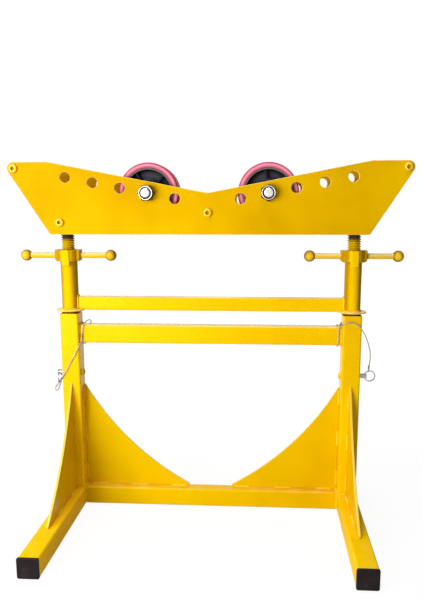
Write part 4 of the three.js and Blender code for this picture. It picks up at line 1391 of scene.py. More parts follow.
@dataclass
class Lanyard:
    """A wire rope from the top beam to a pin's ring, with crimped ends."""

    side: Side
    route: Sequence[Point3]
    length: float
    blend_from: Point3
    blend_to: Point3
    loop_centre: Point3
    diameter: float = 2.4
    strands: int = 6
    lay_length: float = 14.0
    step: float = 1.2
    crimp_radius: float = 2.1
    crimp_length: float = 9.0
    loop_radius: float = 3.1
    loop_wire: float = 0.6

    def build(self) -> None:
        """Makes the rope and the pieces on it."""
        word = self.side.word
        path = smooth_path(self.route, self.step)
        rope = free_piece(
            f"lanyard_rope_{word}", finished(rough_mesh(sweep(path, self.strand_section)), 80), ROPE,
            [f"lanyard_{word}"],
        )
        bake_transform(rope)
        stop = add_piece(f"lanyard_crimp_{word}", self.crimp(path), ROPE, "base")
        eye = add_piece(f"lanyard_eye_{word}", self.eye(path), ROPE, f"pin_{word}")
        LOG.info("lanyard %s: %.1f mm", word, path_length(path))

    @staticmethod
    def metres(point: Sequence[float]) -> Point3:
        """Gives a point in metres."""
        return tuple(Vector(point) * MM)

    def strand_section(self, along: float) -> list[Point2]:
        """Gives the rope's section, whose strands wind round it.

        Args:
            along: Distance along the rope.

        Returns:
            The section's points.
        """
        spots = []
        twist = TURN * along / self.lay_length
        count = self.strands * 4
        for i in range(count):
            angle = TURN * i / count
            bulge = abs(math.cos(self.strands * (angle - twist) / 2))
            spots.append((self.diameter / 2 * (0.84 + 0.16 * bulge), angle))
        return [(r * math.cos(a), r * math.sin(a)) for r, a in spots]

    def sleeve_section(self, _along: float) -> list[Point2]:
        """Gives the crimp's round section."""
        return circle((0, 0), self.crimp_radius, 20)

    def crimp(self, path: Sequence[Vector]) -> bpy.types.Mesh:
        """Makes the sleeve on the rope's fixed end."""
        count = round(self.crimp_length / self.step)
        return finished(rough_mesh(sweep(path[: count + 1], self.sleeve_section)))

    def eye(self, path: Sequence[Vector]) -> bpy.types.Mesh:
        """Makes the sleeve and the small loop that hold the ring."""
        count = round(self.crimp_length / self.step)
        sleeve = sweep(path[-count - 2 : -1], self.sleeve_section)
        centre = Vector(self.loop_centre)
        plane = Axis.X if self.side is Side.RIGHT else Axis.Y
        rings = []
        for a, b in circle((0, 0), 1.0, 40):
            out = plane.point(a, b, 0)
            along = plane.point(0, 0, 1)
            spots = circle((0, 0), self.loop_wire, 10)
            rings.append([centre + out * (self.loop_radius + p) + along * q for p, q in spots])
        return finished(rough_mesh(sleeve, loft(rings, Ends.JOINED)), 60)


@dataclass
class BaseFrame:
    """Rails, posts, beams, gussets, caps and welds that stand on the floor."""

    stock: Stock
    beads: Recipe
    rail_half: float = 320.0
    cap_head: float = 4.0
    cap_plug: float = 18.0
    cap_overhang: float = 0.8
    cap_edge: float = 1.6
    boss_radius: float = 8.0
    boss_height: float = 4.0
    side_height: float = 234.5
    side_reach: float = 234.0
    rail_height: float = 244.0
    rail_reach: float = 195.0
    gusset_arc: float = 605.0
    gusset_toe: float = 5.0
    gusset_tip: float = 2.0
    gusset_thickness: float = 5.0
    gusset_back: float = 16.0
    chamfer: float = 0.7
    bead_width: float = 4.6
    bead_step: float = 1.9
    bead_proud: float = 0.7
    stitches: Sequence[Point2] = ((12.0, 44.0), (104.0, 136.0), (196.0, 226.0))

    def build(self) -> None:
        """Makes every piece of the base."""
        self.beams()
        for side in Side:
            self.rail(side)
            self.post(side)
            self.gussets(side)
        self.welds()

    def beams(self) -> None:
        """Makes the base beam and the top beam."""
        s = self.stock
        for name, top in (("base_beam", s.box), ("top_beam", s.beam_top)):
            low = (s.beam_front, top - s.box)
            tube = box_tube(Axis.X, low, (s.beam_back, top), (-s.inner_face, s.inner_face), s.wall, s.corner)
            finish = PAINT if name == "top_beam" else BEAM
            add_piece(f"{name}_tube", finished(rough_mesh(tube)), finish, "base", [name])

    def rail(self, side: Side) -> None:
        """Makes a foot rail and the caps in its ends."""
        s = self.stock
        middle = side.value * s.post_x
        span = (-self.rail_half, self.rail_half)
        tube = box_tube(Axis.Y, (middle - s.half, 0), (middle + s.half, s.box), span, s.wall, s.corner)
        rail = f"foot_rail_{side.word}"
        add_piece(f"{rail}_tube", finished(rough_mesh(tube)), RAIL, "base", [rail])
        for end, word in ((-1, "front"), (1, "rear")):
            node = f"foot_cap_{word}_{side.word}"
            add_piece(f"{node}_plug", self.cap(middle, end), CAP, "base", [node])

    def cap(self, middle: float, end: int) -> bpy.types.Mesh:
        """Makes a plastic cap with a soft edge and a plug inside the rail.

        Args:
            middle: The rail's place on X.
            end: -1 at the front, 1 at the rear.

        Returns:
            The finished mesh.
        """
        s = self.stock
        over = self.cap_overhang
        plug = s.wall + 0.3 + over
        face = self.rail_half + self.cap_head
        edge = self.cap_edge
        profile = [(plug, self.rail_half - self.cap_plug), (plug, self.rail_half), (0.0, self.rail_half)]
        profile += [(0.0, face - edge)]
        profile += [(edge * (1 - math.cos(a)), face - edge * (1 - math.sin(a))) for a in (0.4, 0.8, 1.2, 1.57)]
        profile += [(edge + 4.0, face), (edge + 6.0, face - 0.5), (edge + 9.0, face - 0.8)]
        rings = []
        for inward, along in profile:
            reach = s.half + over - inward
            low = max(inward - over, 0.0) if inward == plug else inward
            corner = max(s.corner - inward, 1.2)
            ring = rounded_rectangle((middle - reach, low), (middle + reach, s.box + over - inward), corner)
            rings.append([Axis.Y.point(a, b, end * along) for a, b in ring])
        return finished(rough_mesh(loft(rings)), 50)

    def post(self, side: Side) -> None:
        """Makes a post with its pin hole, and the boss round the hole on the inner face."""
        s = self.stock
        middle = side.value * s.post_x
        low = (middle - s.half, -s.half)
        tube = box_tube(Axis.Z, low, (middle + s.half, s.half), (s.box, s.post_top), s.wall, s.corner)
        reach = s.half + self.boss_height
        drill = turned([(s.pin_hole, -reach), (s.pin_hole, reach)], Axis.X, (middle, 0, s.pin_height), steps=32)
        node = f"post_{side.word}"
        add_piece(f"{node}_tube", finished(carved(rough_mesh(tube), drill)), PAINT, "base", [node])
        face = s.half - 0.2
        rim = self.boss_radius
        profile = [(s.pin_hole, face), (rim, face), (rim, reach - 1), (rim - 1, reach), (s.pin_hole, reach)]
        placed = [(radius, -side.value * along) for radius, along in profile]
        boss = turned(placed, Axis.X, (middle, 0, s.pin_height), Ends.JOINED, 36)
        add_piece(f"pin_boss_{side.word}", finished(rough_mesh(boss)), PAINT, "base")

    def gusset_outline(self, direction: int, edge: float, reach: float, height: float) -> list[Point2]:
        """Draws a gusset with a hollow arc between its two toes.

        Args:
            direction: Which way it reaches from the post.
            edge: The post's face.
            reach: How far it reaches.
            height: How far it rises.

        Returns:
            The outline, anticlockwise.
        """
        foot = self.stock.box
        toe = self.gusset_toe
        low = Vector((edge + direction * reach, foot + toe))
        high = Vector((edge + direction * self.gusset_tip, foot + height))
        chord = high - low
        away = Vector((chord.y, -chord.x)).normalized() * direction
        drop = math.sqrt(self.gusset_arc**2 - (chord.length / 2) ** 2)
        centre = (low + high) / 2 + away * drop
        first = math.atan2(low.y - centre.y, low.x - centre.x) % TURN
        last = math.atan2(high.y - centre.y, high.x - centre.x) % TURN
        outline = [(edge, foot), (low.x, foot)]
        outline += arc((centre.x, centre.y), self.gusset_arc, first, last, 24)
        outline += [(edge, high.y)]
        return outline if direction > 0 else outline[::-1]

    def gussets(self, side: Side) -> None:
        """Makes the side gusset and the front and rear gussets of one post."""
        s = self.stock
        face = side.value * s.inner_face
        outline = self.gusset_outline(-side.value, face, self.side_reach, self.side_height)
        span = (self.gusset_back - self.gusset_thickness, self.gusset_back)
        node = f"side_gusset_{side.word}"
        sheet = plate(Axis.Y, outline, span, self.chamfer)
        add_piece(f"{node}_plate", finished(rough_mesh(sheet), 30), SHEET, "base", [node])
        middle = side.value * s.post_x
        span = (middle - self.gusset_thickness / 2, middle + self.gusset_thickness / 2)
        for end, word in ((-1, "front"), (1, "rear")):
            node = f"{word}_gusset_{side.word}"
            outline = self.gusset_outline(end, end * s.half, self.rail_reach, self.rail_height)
            sheet = plate(Axis.X, outline, span, self.chamfer)
            add_piece(f"{node}_plate", finished(rough_mesh(sheet), 30), SHEET, "base", [node])

    def welds(self) -> None:
        """Lays the weld beads of the base."""
        lines: list[list[Point3]] = []
        for side in Side:
            lines += self.joint_seams(side) + self.gusset_seams(side)
        mesh = self.beads.run(
            line_mesh(lines), BEAD, Width=self.bead_width * MM, Step=self.bead_step * MM, Seed=3
        )
        add_piece("base_welds", mesh, BEAD, "base")

    def joint_seams(self, side: Side) -> list[list[Point3]]:
        """Gives the seams where tubes meet on one side."""
        s = self.stock
        out = self.bead_proud
        inner = side.value * (s.inner_face - out)
        groove = s.half - 1.4
        lines = []
        for end in (-1, 1):
            y = end * (s.half + out)
            for start, stop in ((-15, -5), (5, 15)):
                x = side.value * s.post_x
                lines.append([(x + start, y, s.box + out), (x + stop, y, s.box + out)])
            x = side.value * s.post_x + end * groove
            lines.append([(x, -14, s.box - 0.8), (x, 14, s.box - 0.8)])
        front = s.beam_front - out
        back = s.beam_back + out - 1.2
        for top in (s.box, s.beam_top):
            low = top - s.box
            for y in (front, back):
                lines.append([(inner, y, low + 4), (inner, y, top - 4)])
            lines.append([(inner, s.beam_front + 4, top + out), (inner, s.beam_back - 4, top + out)])
        below = s.beam_top - s.box - out
        lines.append([(inner, s.beam_front + 4, below), (inner, s.beam_back - 4, below)])
        return lines

    def gusset_seams(self, side: Side) -> list[list[Point3]]:
        """Gives the stitches along the gussets of one side."""
        s = self.stock
        out = self.bead_proud
        foot = s.box + out
        lines = []
        inner = side.value * (s.inner_face - out)
        for y in (self.gusset_back - self.gusset_thickness - out, self.gusset_back + out):
            for start, stop in self.stitches:
                lines.append([(inner, y, s.box + start), (inner, y, s.box + stop)])
                x = [side.value * (s.inner_face - d) for d in (start, stop)]
                lines.append([(x[0], y, foot), (x[1], y, foot)])
        for face in (-1, 1):
            x = side.value * s.post_x + face * (self.gusset_thickness / 2 + out)
            for end in (-1, 1):
                for start, stop in self.stitches:
                    y = end * (s.half + out)
                    lines.append([(x, y, s.box + start), (x, y, s.box + stop)])
                    if stop < self.rail_reach:
                        lines.append([(x, end * (s.half + start), foot), (x, end * (s.half + stop), foot)])
        return lines


@dataclass
class InnerFrame:
    """The two sliding tubes, their flanges and the bar between them."""

    stock: Stock
    beads: Recipe
    tube_bottom: float = 130.0
    hole_pitch: float = 50.0
    hole_count: int = 4
    flange_radius: float = 31.0
    flange_low: float = 443.0
    flange_top: float = 446.2
    bar_bottom: float = 443.7
    bar_top: float = 473.7
    bar_front: float = -5.0
    bar_back: float = 15.0
    bead_width: float = 4.4
    bead_step: float = 1.8

    def build(self) -> None:
        """Makes every piece of the inner frame."""
        self.crossbar()
        for side in Side:
            self.tube(side)
            self.flange(side)
        self.welds()

    def crossbar(self) -> None:
        """Makes the bar, with its ends cut to the tubes' round and notched over the flanges."""
        s = self.stock
        low, high = (self.bar_front, self.bar_bottom), (self.bar_back, self.bar_top)
        tube = box_tube(Axis.X, low, high, (-s.post_x, s.post_x), s.wall, s.corner)
        rise = [(s.tube_radius, self.bar_bottom - 5), (s.tube_radius, self.bar_top + 5)]
        notch = [(self.flange_radius + 0.1, self.bar_bottom - 5), (self.flange_radius + 0.1, self.flange_top + 0.1)]
        bar = rough_mesh(tube)
        for side in Side:
            for cutter in (rise, notch):
                bar = carved(bar, turned(cutter, Axis.Z, (side.value * s.post_x, 0, 0)))
        add_piece("inner_crossbar_tube", finished(bar), PAINT, "inner_frame", ["inner_crossbar"])

    def tube(self, side: Side) -> None:
        """Makes a sliding tube with its row of pin holes."""
        s = self.stock
        centre = (side.value * s.post_x, 0, 0)
        bore = s.tube_radius - s.tube_wall
        profile = [
            (bore, self.tube_bottom),
            (s.tube_radius - 0.6, self.tube_bottom),
            (s.tube_radius, self.tube_bottom + 0.6),
            (s.tube_radius, s.tube_top - 0.6),
            (s.tube_radius - 0.6, s.tube_top),
            (bore, s.tube_top),
        ]
        tube = rough_mesh(turned(profile, Axis.Z, centre, Ends.JOINED))
        drills = []
        for i in range(self.hole_count):
            place = (centre[0], 0, s.pin_height - i * self.hole_pitch)
            drills.append(turned([(s.pin_hole, -25), (s.pin_hole, 25)], Axis.X, place, steps=32))
        node = f"inner_tube_{side.word}"
        add_piece(f"{node}_pipe", finished(carved(tube, *drills)), PIPE, "inner_frame", [node])

    def flange(self, side: Side) -> None:
        """Makes a thin flange and the shaded collar that it rests on."""
        s = self.stock
        bore = s.tube_radius + 0.1
        edge = 0.9
        rim = self.flange_radius
        profile = [
            (bore, self.flange_low),
            (rim - edge, self.flange_low),
            (rim, self.flange_low + edge),
            (rim, self.flange_top - edge),
            (rim - edge, self.flange_top),
            (bore, self.flange_top),
        ]
        disc = turned(profile, Axis.Z, (side.value * s.post_x, 0, 0), Ends.JOINED, 80)
        node = f"flange_{side.word}"
        add_piece(f"{node}_disc", finished(rough_mesh(disc)), PAINT, "inner_frame", [node])
        collar = eased(
            [(bore, s.post_top), (s.half - edge, s.post_top), (s.half - edge, self.flange_low), (bore, self.flange_low)],
            edge,
        )
        ring = turned(collar, Axis.Z, (side.value * s.post_x, 0, 0), Ends.JOINED)
        add_piece(f"flange_collar_{side.word}", finished(rough_mesh(ring)), SHADE, "inner_frame")

    def welds(self) -> None:
        """Lays the beads round the tubes and at the bar's ends."""
        s = self.stock
        out = 0.8
        lines: list[list[Point3]] = []
        for side in Side:
            x = side.value * s.post_x
            ring = arc((x, 0), s.tube_radius + out, 0, TURN, 48)
            lines.append([(a, b, self.flange_top + out) for a, b in ring])
            reach = s.tube_radius + out
            for y in (self.bar_front - out, self.bar_back + out):
                edge = x - side.value * math.sqrt(reach**2 - y**2)
                lines.append([(edge, y, self.flange_top + 2), (edge, y, self.bar_top - 2)])
            angles = [math.asin(y / reach) for y in (self.bar_front + 2, self.bar_back - 2)]
            over = arc((0, 0), reach, *angles, 12)
            lines.append([(x - side.value * a, b, self.bar_top + out) for a, b in over])
        mesh = self.beads.run(
            line_mesh(lines), BEAD, Width=self.bead_width * MM, Step=self.bead_step * MM, Seed=5
        )
        add_piece("inner_frame_welds", mesh, BEAD, "inner_frame")


@dataclass
class JackNut:
    """A cast nut on top of a tube, with two ball handles."""

    stock: Stock
    side: Side
    bottom: float = 549.3
    top: float = 574.3
    bore: float = 14.3
    barrel: float = 23.8
    lug_reach: float = 27.0
    lug_half: float = 12.0
    lug_corner: float = 6.0
    tab_half: float = 8.0
    tab_inner: float = 18.2
    tab_outer: float = 26.2
    tab_drop: float = 9.0
    bar_height: float = 561.8
    bar_radius: float = 6.0
    ball_reach: float = 91.5
    ball_radius: float = 12.0
    grain: float = 0.8

    @property
    def body(self) -> str:
        """The body that the nut turns with."""
        return f"nut_{self.side.word}"

    def build(self) -> None:
        """Makes the nut and its two handles."""
        node = f"jack_nut_{self.side.word}"
        casting = cast(rough_mesh(self.ring(), *self.lugs(), *self.tabs()), self.grain, 3)
        add_piece(f"{node}_casting", finished(casting, 70), CASTING, self.body, [node])
        for direction, word in ((self.side.value, "outer"), (-self.side.value, "inner")):
            node = f"handle_{word}_{self.side.word}"
            add_piece(f"{node}_bar", self.bar(direction), HANDLE, self.body, [node])
            add_piece(f"{node}_ball", self.ball(direction), BALL, self.body)

    @property
    def middle(self) -> Point3:
        """A point on the nut's axis."""
        return (self.side.value * self.stock.post_x, 0, 0)

    def ring(self) -> bmesh.types.BMesh:
        """Makes the threaded barrel."""
        edge = 1.5
        profile = [
            (self.bore, self.bottom),
            (self.barrel - edge, self.bottom),
            (self.barrel, self.bottom + edge),
            (self.barrel, self.top - edge),
            (self.barrel - edge, self.top),
            (self.bore + edge, self.top),
            (self.bore, self.top - edge),
        ]
        return turned(profile, Axis.Z, self.middle, Ends.JOINED)

    def lugs(self) -> list[bmesh.types.BMesh]:
        """Makes the two lugs that take the handles."""
        made = []
        for direction in (-1, 1):
            near = self.middle[0] + direction * (self.bore + 2.5)
            far = self.middle[0] + direction * self.lug_reach
            centre = (far - direction * self.lug_corner, self.bottom + self.lug_corner)
            start = -TURN / 4
            corner = arc(centre, self.lug_corner, start, start + direction * TURN / 4, 8)
            outline = [(near, self.top), (near, self.bottom), *corner, (far, self.top)]
            if direction < 0:
                outline.reverse()
            made.append(plate(Axis.Y, outline, (-self.lug_half, self.lug_half), 2.0))
        return made

    def tabs(self) -> list[bmesh.types.BMesh]:
        """Makes the two tabs that reach down over the tube."""
        made = []
        low = self.bottom - self.tab_drop
        x = self.middle[0]
        outline = rounded_rectangle((x - self.tab_half, low), (x + self.tab_half, self.top), 2.5)
        for face in (-1, 1):
            span = sorted((face * self.tab_inner, face * self.tab_outer))
            made.append(plate(Axis.Y, outline, (span[0], span[1]), 1.5))
        return made

    def bar(self, direction: int) -> bpy.types.Mesh:
        """Makes a handle's bar, from inside its lug to inside its ball."""
        neck = self.ball_reach - self.ball_radius * 0.7
        return self.turned_handle([(self.bar_radius, self.lug_reach - 6), (self.bar_radius, neck)], direction)

    def ball(self, direction: int) -> bpy.types.Mesh:
        """Makes the ball on a handle's end, with a flat where the bar goes in."""
        flat = TURN / 2 - math.asin(self.bar_radius / self.ball_radius)
        spots = arc((self.ball_reach, 0), self.ball_radius, flat, 0.01, 20)
        return self.turned_handle([(radius, along) for along, radius in spots], direction)

    def turned_handle(self, profile: Sequence[Point2], direction: int) -> bpy.types.Mesh:
        """Turns a part of a handle.

        Args:
            profile: Radius and distance from the nut's axis, point by point.
            direction: Which way the handle points on X.

        Returns:
            The finished mesh.
        """
        placed = [(radius, direction * along) for radius, along in profile]
        centre = (self.middle[0], 0, self.bar_height)
        return finished(rough_mesh(turned(placed, Axis.X, centre, steps=40)), 50)


@dataclass
class Head:
    """The V head: two plates on tie rods, with the jack screws and the axles."""

    stock: Stock
    beads: Recipe
    thread: Recipe
    half_base: float = 328.0
    corner: float = 6.0
    shoulder_half: float = 328.0
    tie_x: float = 398.5
    tie_rise: float = 133.0
    lobe: float = 13.0
    dip: float = 83.5
    dip_radius: float = 30.0
    centre_rise: float = 44.0
    tie_radius: float = 8.0
    chamfer: float = 0.7
    hole_radius: float = 11.0
    hole_first: float = 67.0
    hole_pitch: float = 56.35
    hole_count: int = 5
    hole_drop: float = 24.0
    axle_hole: int = 1
    block_half: float = 22.0
    block_bottom: float = 609.3
    block_top: float = 649.3
    block_screw_rise: float = 24.5
    block_screw_out: float = 4.0
    screw_radius: float = 14.0
    screw_top: float = 639.3
    screw_length: float = 280.0
    screw_pitch: float = 5.0
    thread_depth: float = 2.6
    button_radius: float = 9.0
    button_height: float = 5.5
    button_edge: float = 1.5
    button_crown: float = 5.0
    button_socket: float = 4.0
    button_shank: float = 5.0
    axle_radius: float = 10.0
    axle_end: float = 5.0
    nut_flats: float = 15.0
    nut_height: float = 20.0
    nut_hex: float = 14.5
    bolt_head: float = 12.5
    sleeve_bore: float = 10.3
    sleeve_radius: float = 14.8

    @property
    def slope(self) -> float:
        """Rise of the V's sides."""
        return (self.tie_rise + self.lobe - self.dip) / self.shoulder_half

    def hole(self, index: int) -> Point2:
        """Gives the place of an axle hole on the right half."""
        x = self.hole_first + index * self.hole_pitch
        return (x, self.stock.head_bottom + self.dip + self.slope * x - self.hole_drop)

    def axle(self, side: Side) -> Point3:
        """Gives the middle of an axle."""
        x, z = self.hole(self.axle_hole)
        return (side.value * x, 0, z)

    def build(self) -> None:
        """Makes every piece of the head."""
        s = self.stock
        self.head_plate("front", (-s.plate_outer, -s.plate_inner))
        self.head_plate("rear", (s.plate_inner, s.plate_outer))
        self.tie("centre", (0, s.head_bottom + self.centre_rise))
        for side in Side:
            self.tie(side.word, (side.value * self.tie_x, s.head_bottom + self.tie_rise))
            self.jack(side)
            self.axle_set(side)
        self.welds()

    def outline(self) -> list[Point2]:
        """Draws the head plate: a shallow V between two flat shoulders, with sides that slope in."""
        base = self.stock.head_bottom
        run = Vector((self.tie_x - self.half_base, self.tie_rise))
        lean = math.atan2(run.y, run.x) - math.asin(self.lobe / run.length)
        cut = self.corner * math.tan(lean / 2)
        slant = math.atan(self.slope)
        flank = self.dip_radius * math.sin(slant)
        right = TURN / 4
        dip_centre = (0, base + self.dip + self.dip_radius * math.hypot(1, self.slope))
        half = arc((self.half_base - cut, base + self.corner), self.corner, -right, lean - right, 8)
        half += arc((self.tie_x, base + self.tie_rise), self.lobe, lean - right, right, 20)
        half += [(self.shoulder_half, base + self.tie_rise + self.lobe)]
        half += [(flank, base + self.dip + self.slope * flank)]
        valley = arc(dip_centre, self.dip_radius, slant - right, -slant - right, 8)
        return half + valley[1:-1] + [(-x, z) for x, z in reversed(half)]

    def head_plate(self, word: str, span: Point2) -> None:
        """Makes a head plate with its rows of axle holes.

        Args:
            word: Front or rear.
            span: Where its faces lie on Y.
        """
        holes = []
        for index in range(self.hole_count):
            x, z = self.hole(index)
            holes += [circle((side.value * x, z), self.hole_radius, 40) for side in Side]
        sheet = plate(Axis.Y, self.outline(), span, self.chamfer, holes)
        node = f"head_plate_{word}"
        add_piece(f"{node}_sheet", finished(rough_mesh(sheet), 30), PLATE, "head", [node])

    def tie(self, word: str, place: Point2) -> None:
        """Makes a tie rod between the plates and its screw in the front plate."""
        s = self.stock
        reach = s.plate_inner
        centre = (place[0], 0, place[1])
        rod = turned([(self.tie_radius, -reach), (self.tie_radius, reach)], Axis.Y, centre, steps=40)
        add_piece(f"tie_rod_{word}_bar", finished(rough_mesh(rod)), PAINT, "head", [f"tie_rod_{word}"])
        add_piece(
            f"tie_screw_{word}_button", self.button(centre, -1), BUTTON, "head", [f"tie_screw_{word}"]
        )

    def button(self, centre: Point3, face: int) -> bpy.types.Mesh:
        """Makes a domed screw with a hex socket.

        Args:
            centre: A point on its axis.
            face: -1 in the front plate, 1 in the rear plate.

        Returns:
            The finished mesh.
        """
        s = self.stock
        steps = 48
        profile = [(self.button_shank, -20.0), (self.button_shank, 0.0), (self.button_radius, 0.0)]
        for i in range(11):
            angle = TURN / 4 * i / 10
            radius = self.button_crown + (self.button_radius - self.button_crown) * math.cos(angle)
            profile.append((radius, self.button_edge + (self.button_height - self.button_edge) * math.sin(angle)))
        rings = []
        for radius, along in profile:
            rings.append([Axis.Y.point(a, b, face * along) for a, b in circle((0, 0), radius, steps)])
        for along in (self.button_height, self.button_height - 7.0):
            rings.append([Axis.Y.point(a, b, face * along) for a, b in hexagon(self.button_socket, steps)])
        shift = Vector((centre[0], face * s.plate_outer, centre[2]))
        return finished(rough_mesh(loft([[shift + spot for spot in ring] for ring in rings])), 40)

    def jack(self, side: Side) -> None:
        """Makes a jack screw, the block that holds it and the block's screw."""
        s = self.stock
        x = side.value * s.post_x
        rows = int(self.screw_length / self.screw_pitch) * 10 + 1
        mesh = self.thread.run(
            bpy.data.meshes.new("seed"), THREAD,
            Radius=self.screw_radius * MM, Depth=self.thread_depth * MM, Pitch=self.screw_pitch * MM,
            Length=self.screw_length * MM, Rows=rows,
        )
        mesh.transform(Matrix.Translation(Vector((x, 0, self.screw_top - self.screw_length)) * MM))
        mesh.set_sharp_from_angle(angle=math.radians(60))
        add_piece(f"jack_screw_{side.word}_rod", mesh, THREAD, "head", [f"jack_screw_{side.word}"])
        low = (x - self.block_half, -s.plate_inner)
        outline = rounded_rectangle(low, (x + self.block_half, s.plate_inner), 1.5, 3)
        bore = circle((x, 0), self.screw_radius + 0.2, 48)
        block = plate(Axis.Z, outline, (self.block_bottom, self.block_top), 1.0, [bore])
        add_piece(f"screw_block_{side.word}_block", finished(rough_mesh(block)), PAINT, "head", [f"screw_block_{side.word}"])
        place = (x + side.value * self.block_screw_out, 0, s.head_bottom + self.block_screw_rise)
        node = f"block_screw_{side.word}"
        add_piece(f"{node}_button", self.button(place, side.value), BUTTON, "head", [node])

    def axle_set(self, side: Side) -> None:
        """Makes an axle: bolt, sleeve between the plates, lock nut and its nylon ring."""
        s = self.stock
        centre = self.axle(side)
        sleeve = [
            (self.sleeve_bore, -s.plate_inner),
            (self.sleeve_radius, -s.plate_inner),
            (self.sleeve_radius, s.plate_inner),
            (self.sleeve_bore, s.plate_inner),
        ]
        tube = turned(sleeve, Axis.Y, centre, Ends.JOINED)
        add_piece(f"axle_sleeve_{side.word}_tube", finished(rough_mesh(tube)), ZINC, "head", [f"axle_sleeve_{side.word}"])
        add_piece(f"axle_bolt_{side.word}_bolt", self.bolt(centre), BOLT, "head", [f"axle_bolt_{side.word}"])
        lean = 0.0 if side is Side.LEFT else TURN / 12
        add_piece(f"axle_nut_{side.word}_nut", self.lock_nut(centre, lean), NUT, "head", [f"axle_nut_{side.word}"])
        face = -s.plate_outer - self.nut_height + 1.6
        ring = [(10.1, face + 3), (11.5, face + 3), (11.5, face), (10.1, face)]
        insert = turned(ring, Axis.Y, centre, Ends.JOINED, 48)
        add_piece(f"lock_ring_{side.word}", finished(rough_mesh(insert)), CORE, "head")

    def bolt(self, centre: Point3) -> bpy.types.Mesh:
        """Makes the axle bolt, with a hex head at the rear and a domed end at the front."""
        s = self.stock
        steps = 72
        end = -s.plate_outer - self.nut_height - self.axle_end
        tip = eased([(0.5, end), (7.4, end), (self.axle_radius, end + 2.6), (self.axle_radius, end + 8)], 2.4)
        rings = []
        for radius, along in [*tip, (self.axle_radius, s.plate_outer)]:
            rings.append([Axis.Y.point(a, b, along) for a, b in circle((0, 0), radius, steps)])
        rim = self.nut_flats / math.cos(TURN / 12)
        outer = s.plate_outer + self.bolt_head
        heights = [(self.nut_flats * 0.96, s.plate_outer), (rim, s.plate_outer + 0.6)]
        heights += [(rim, outer - 2.2), (rim - 1.0, outer - 1.0), (self.nut_flats * 0.93, outer)]
        for limit, along in heights:
            rings.append([Axis.Y.point(a, b, along) for a, b in hexagon(self.nut_flats, steps, limit)])
        moved = [[Vector(centre) + spot for spot in ring] for ring in rings]
        return finished(rough_mesh(loft(moved)), 30)

    def lock_nut(self, centre: Point3, lean: float) -> bpy.types.Mesh:
        """Makes a hex lock nut with a round collar.

        Args:
            centre: A point on its axis.
            lean: Turn of its corners, in radians.

        Returns:
            The finished mesh.
        """
        base = self.stock.plate_outer
        steps = 72
        rim = self.nut_flats / math.cos(TURN / 12)
        collar = self.nut_flats - 0.6
        hex_rings = [(self.nut_flats * 0.95, base), (rim, base + 0.8), (rim, base + self.nut_hex - 2.2)]
        hex_rings += [(rim - 1.1, base + self.nut_hex - 1.0), (collar + 0.1, base + self.nut_hex)]
        top = base + self.nut_height
        turned_rings = eased(
            [(collar, base + self.nut_hex + 0.3), (collar, top), (11.5, top), (11.5, top - 3)], 2.4, 6
        )
        rings = [[Axis.Y.point(a, b, -base) for a, b in circle((0, 0), 10.2, steps)]]
        for limit, along in hex_rings:
            rings.append([Axis.Y.point(a, b, -along) for a, b in hexagon(self.nut_flats, steps, limit, lean)])
        for radius, along in [*turned_rings, (10.2, top - 3)]:
            rings.append([Axis.Y.point(a, b, -along) for a, b in circle((0, 0), radius, steps)])
        moved = [[Vector(centre) + spot for spot in ring] for ring in rings]
        return finished(rough_mesh(loft(moved, Ends.JOINED)), 30)

    def welds(self) -> None:
        """Lays the beads that hold the tie rods to the rear plate."""
        s = self.stock
        out = 0.8
        places = [(0.0, s.head_bottom + self.centre_rise)]
        places += [(side.value * self.tie_x, s.head_bottom + self.tie_rise) for side in Side]
        lines = []
        for place in places:
            ring = arc(place, self.tie_radius + out, 0, TURN, 40)
            lines.append([(a, s.plate_inner - out, b) for a, b in ring])
        mesh = self.beads.run(line_mesh(lines), BEAD, Width=4.0 * MM, Step=1.8 * MM, Seed=7)
        add_piece("head_welds", mesh, BEAD, "head")


def hexagon(flats: float, steps: int, limit: float = math.inf, lean: float = 0.0) -> list[Point2]:
    """Gives a hexagon with many points, rounded off where it passes a circle.

    Args:
        flats: Half of the size across flats.
        steps: Number of points.
        limit: Radius past which it follows a circle.
        lean: Turn of its corners, in radians.

    Returns:
        The outline's points, with a corner on the first axis where the lean is zero.
    """
    spots = []
    sector = TURN / 6
    for i in range(steps):
        angle = TURN * i / steps
        within = (angle - lean) % sector - sector / 2
        radius = min(flats / math.cos(within), limit)
        spots.append((radius * math.cos(angle), radius * math.sin(angle)))
    return spots


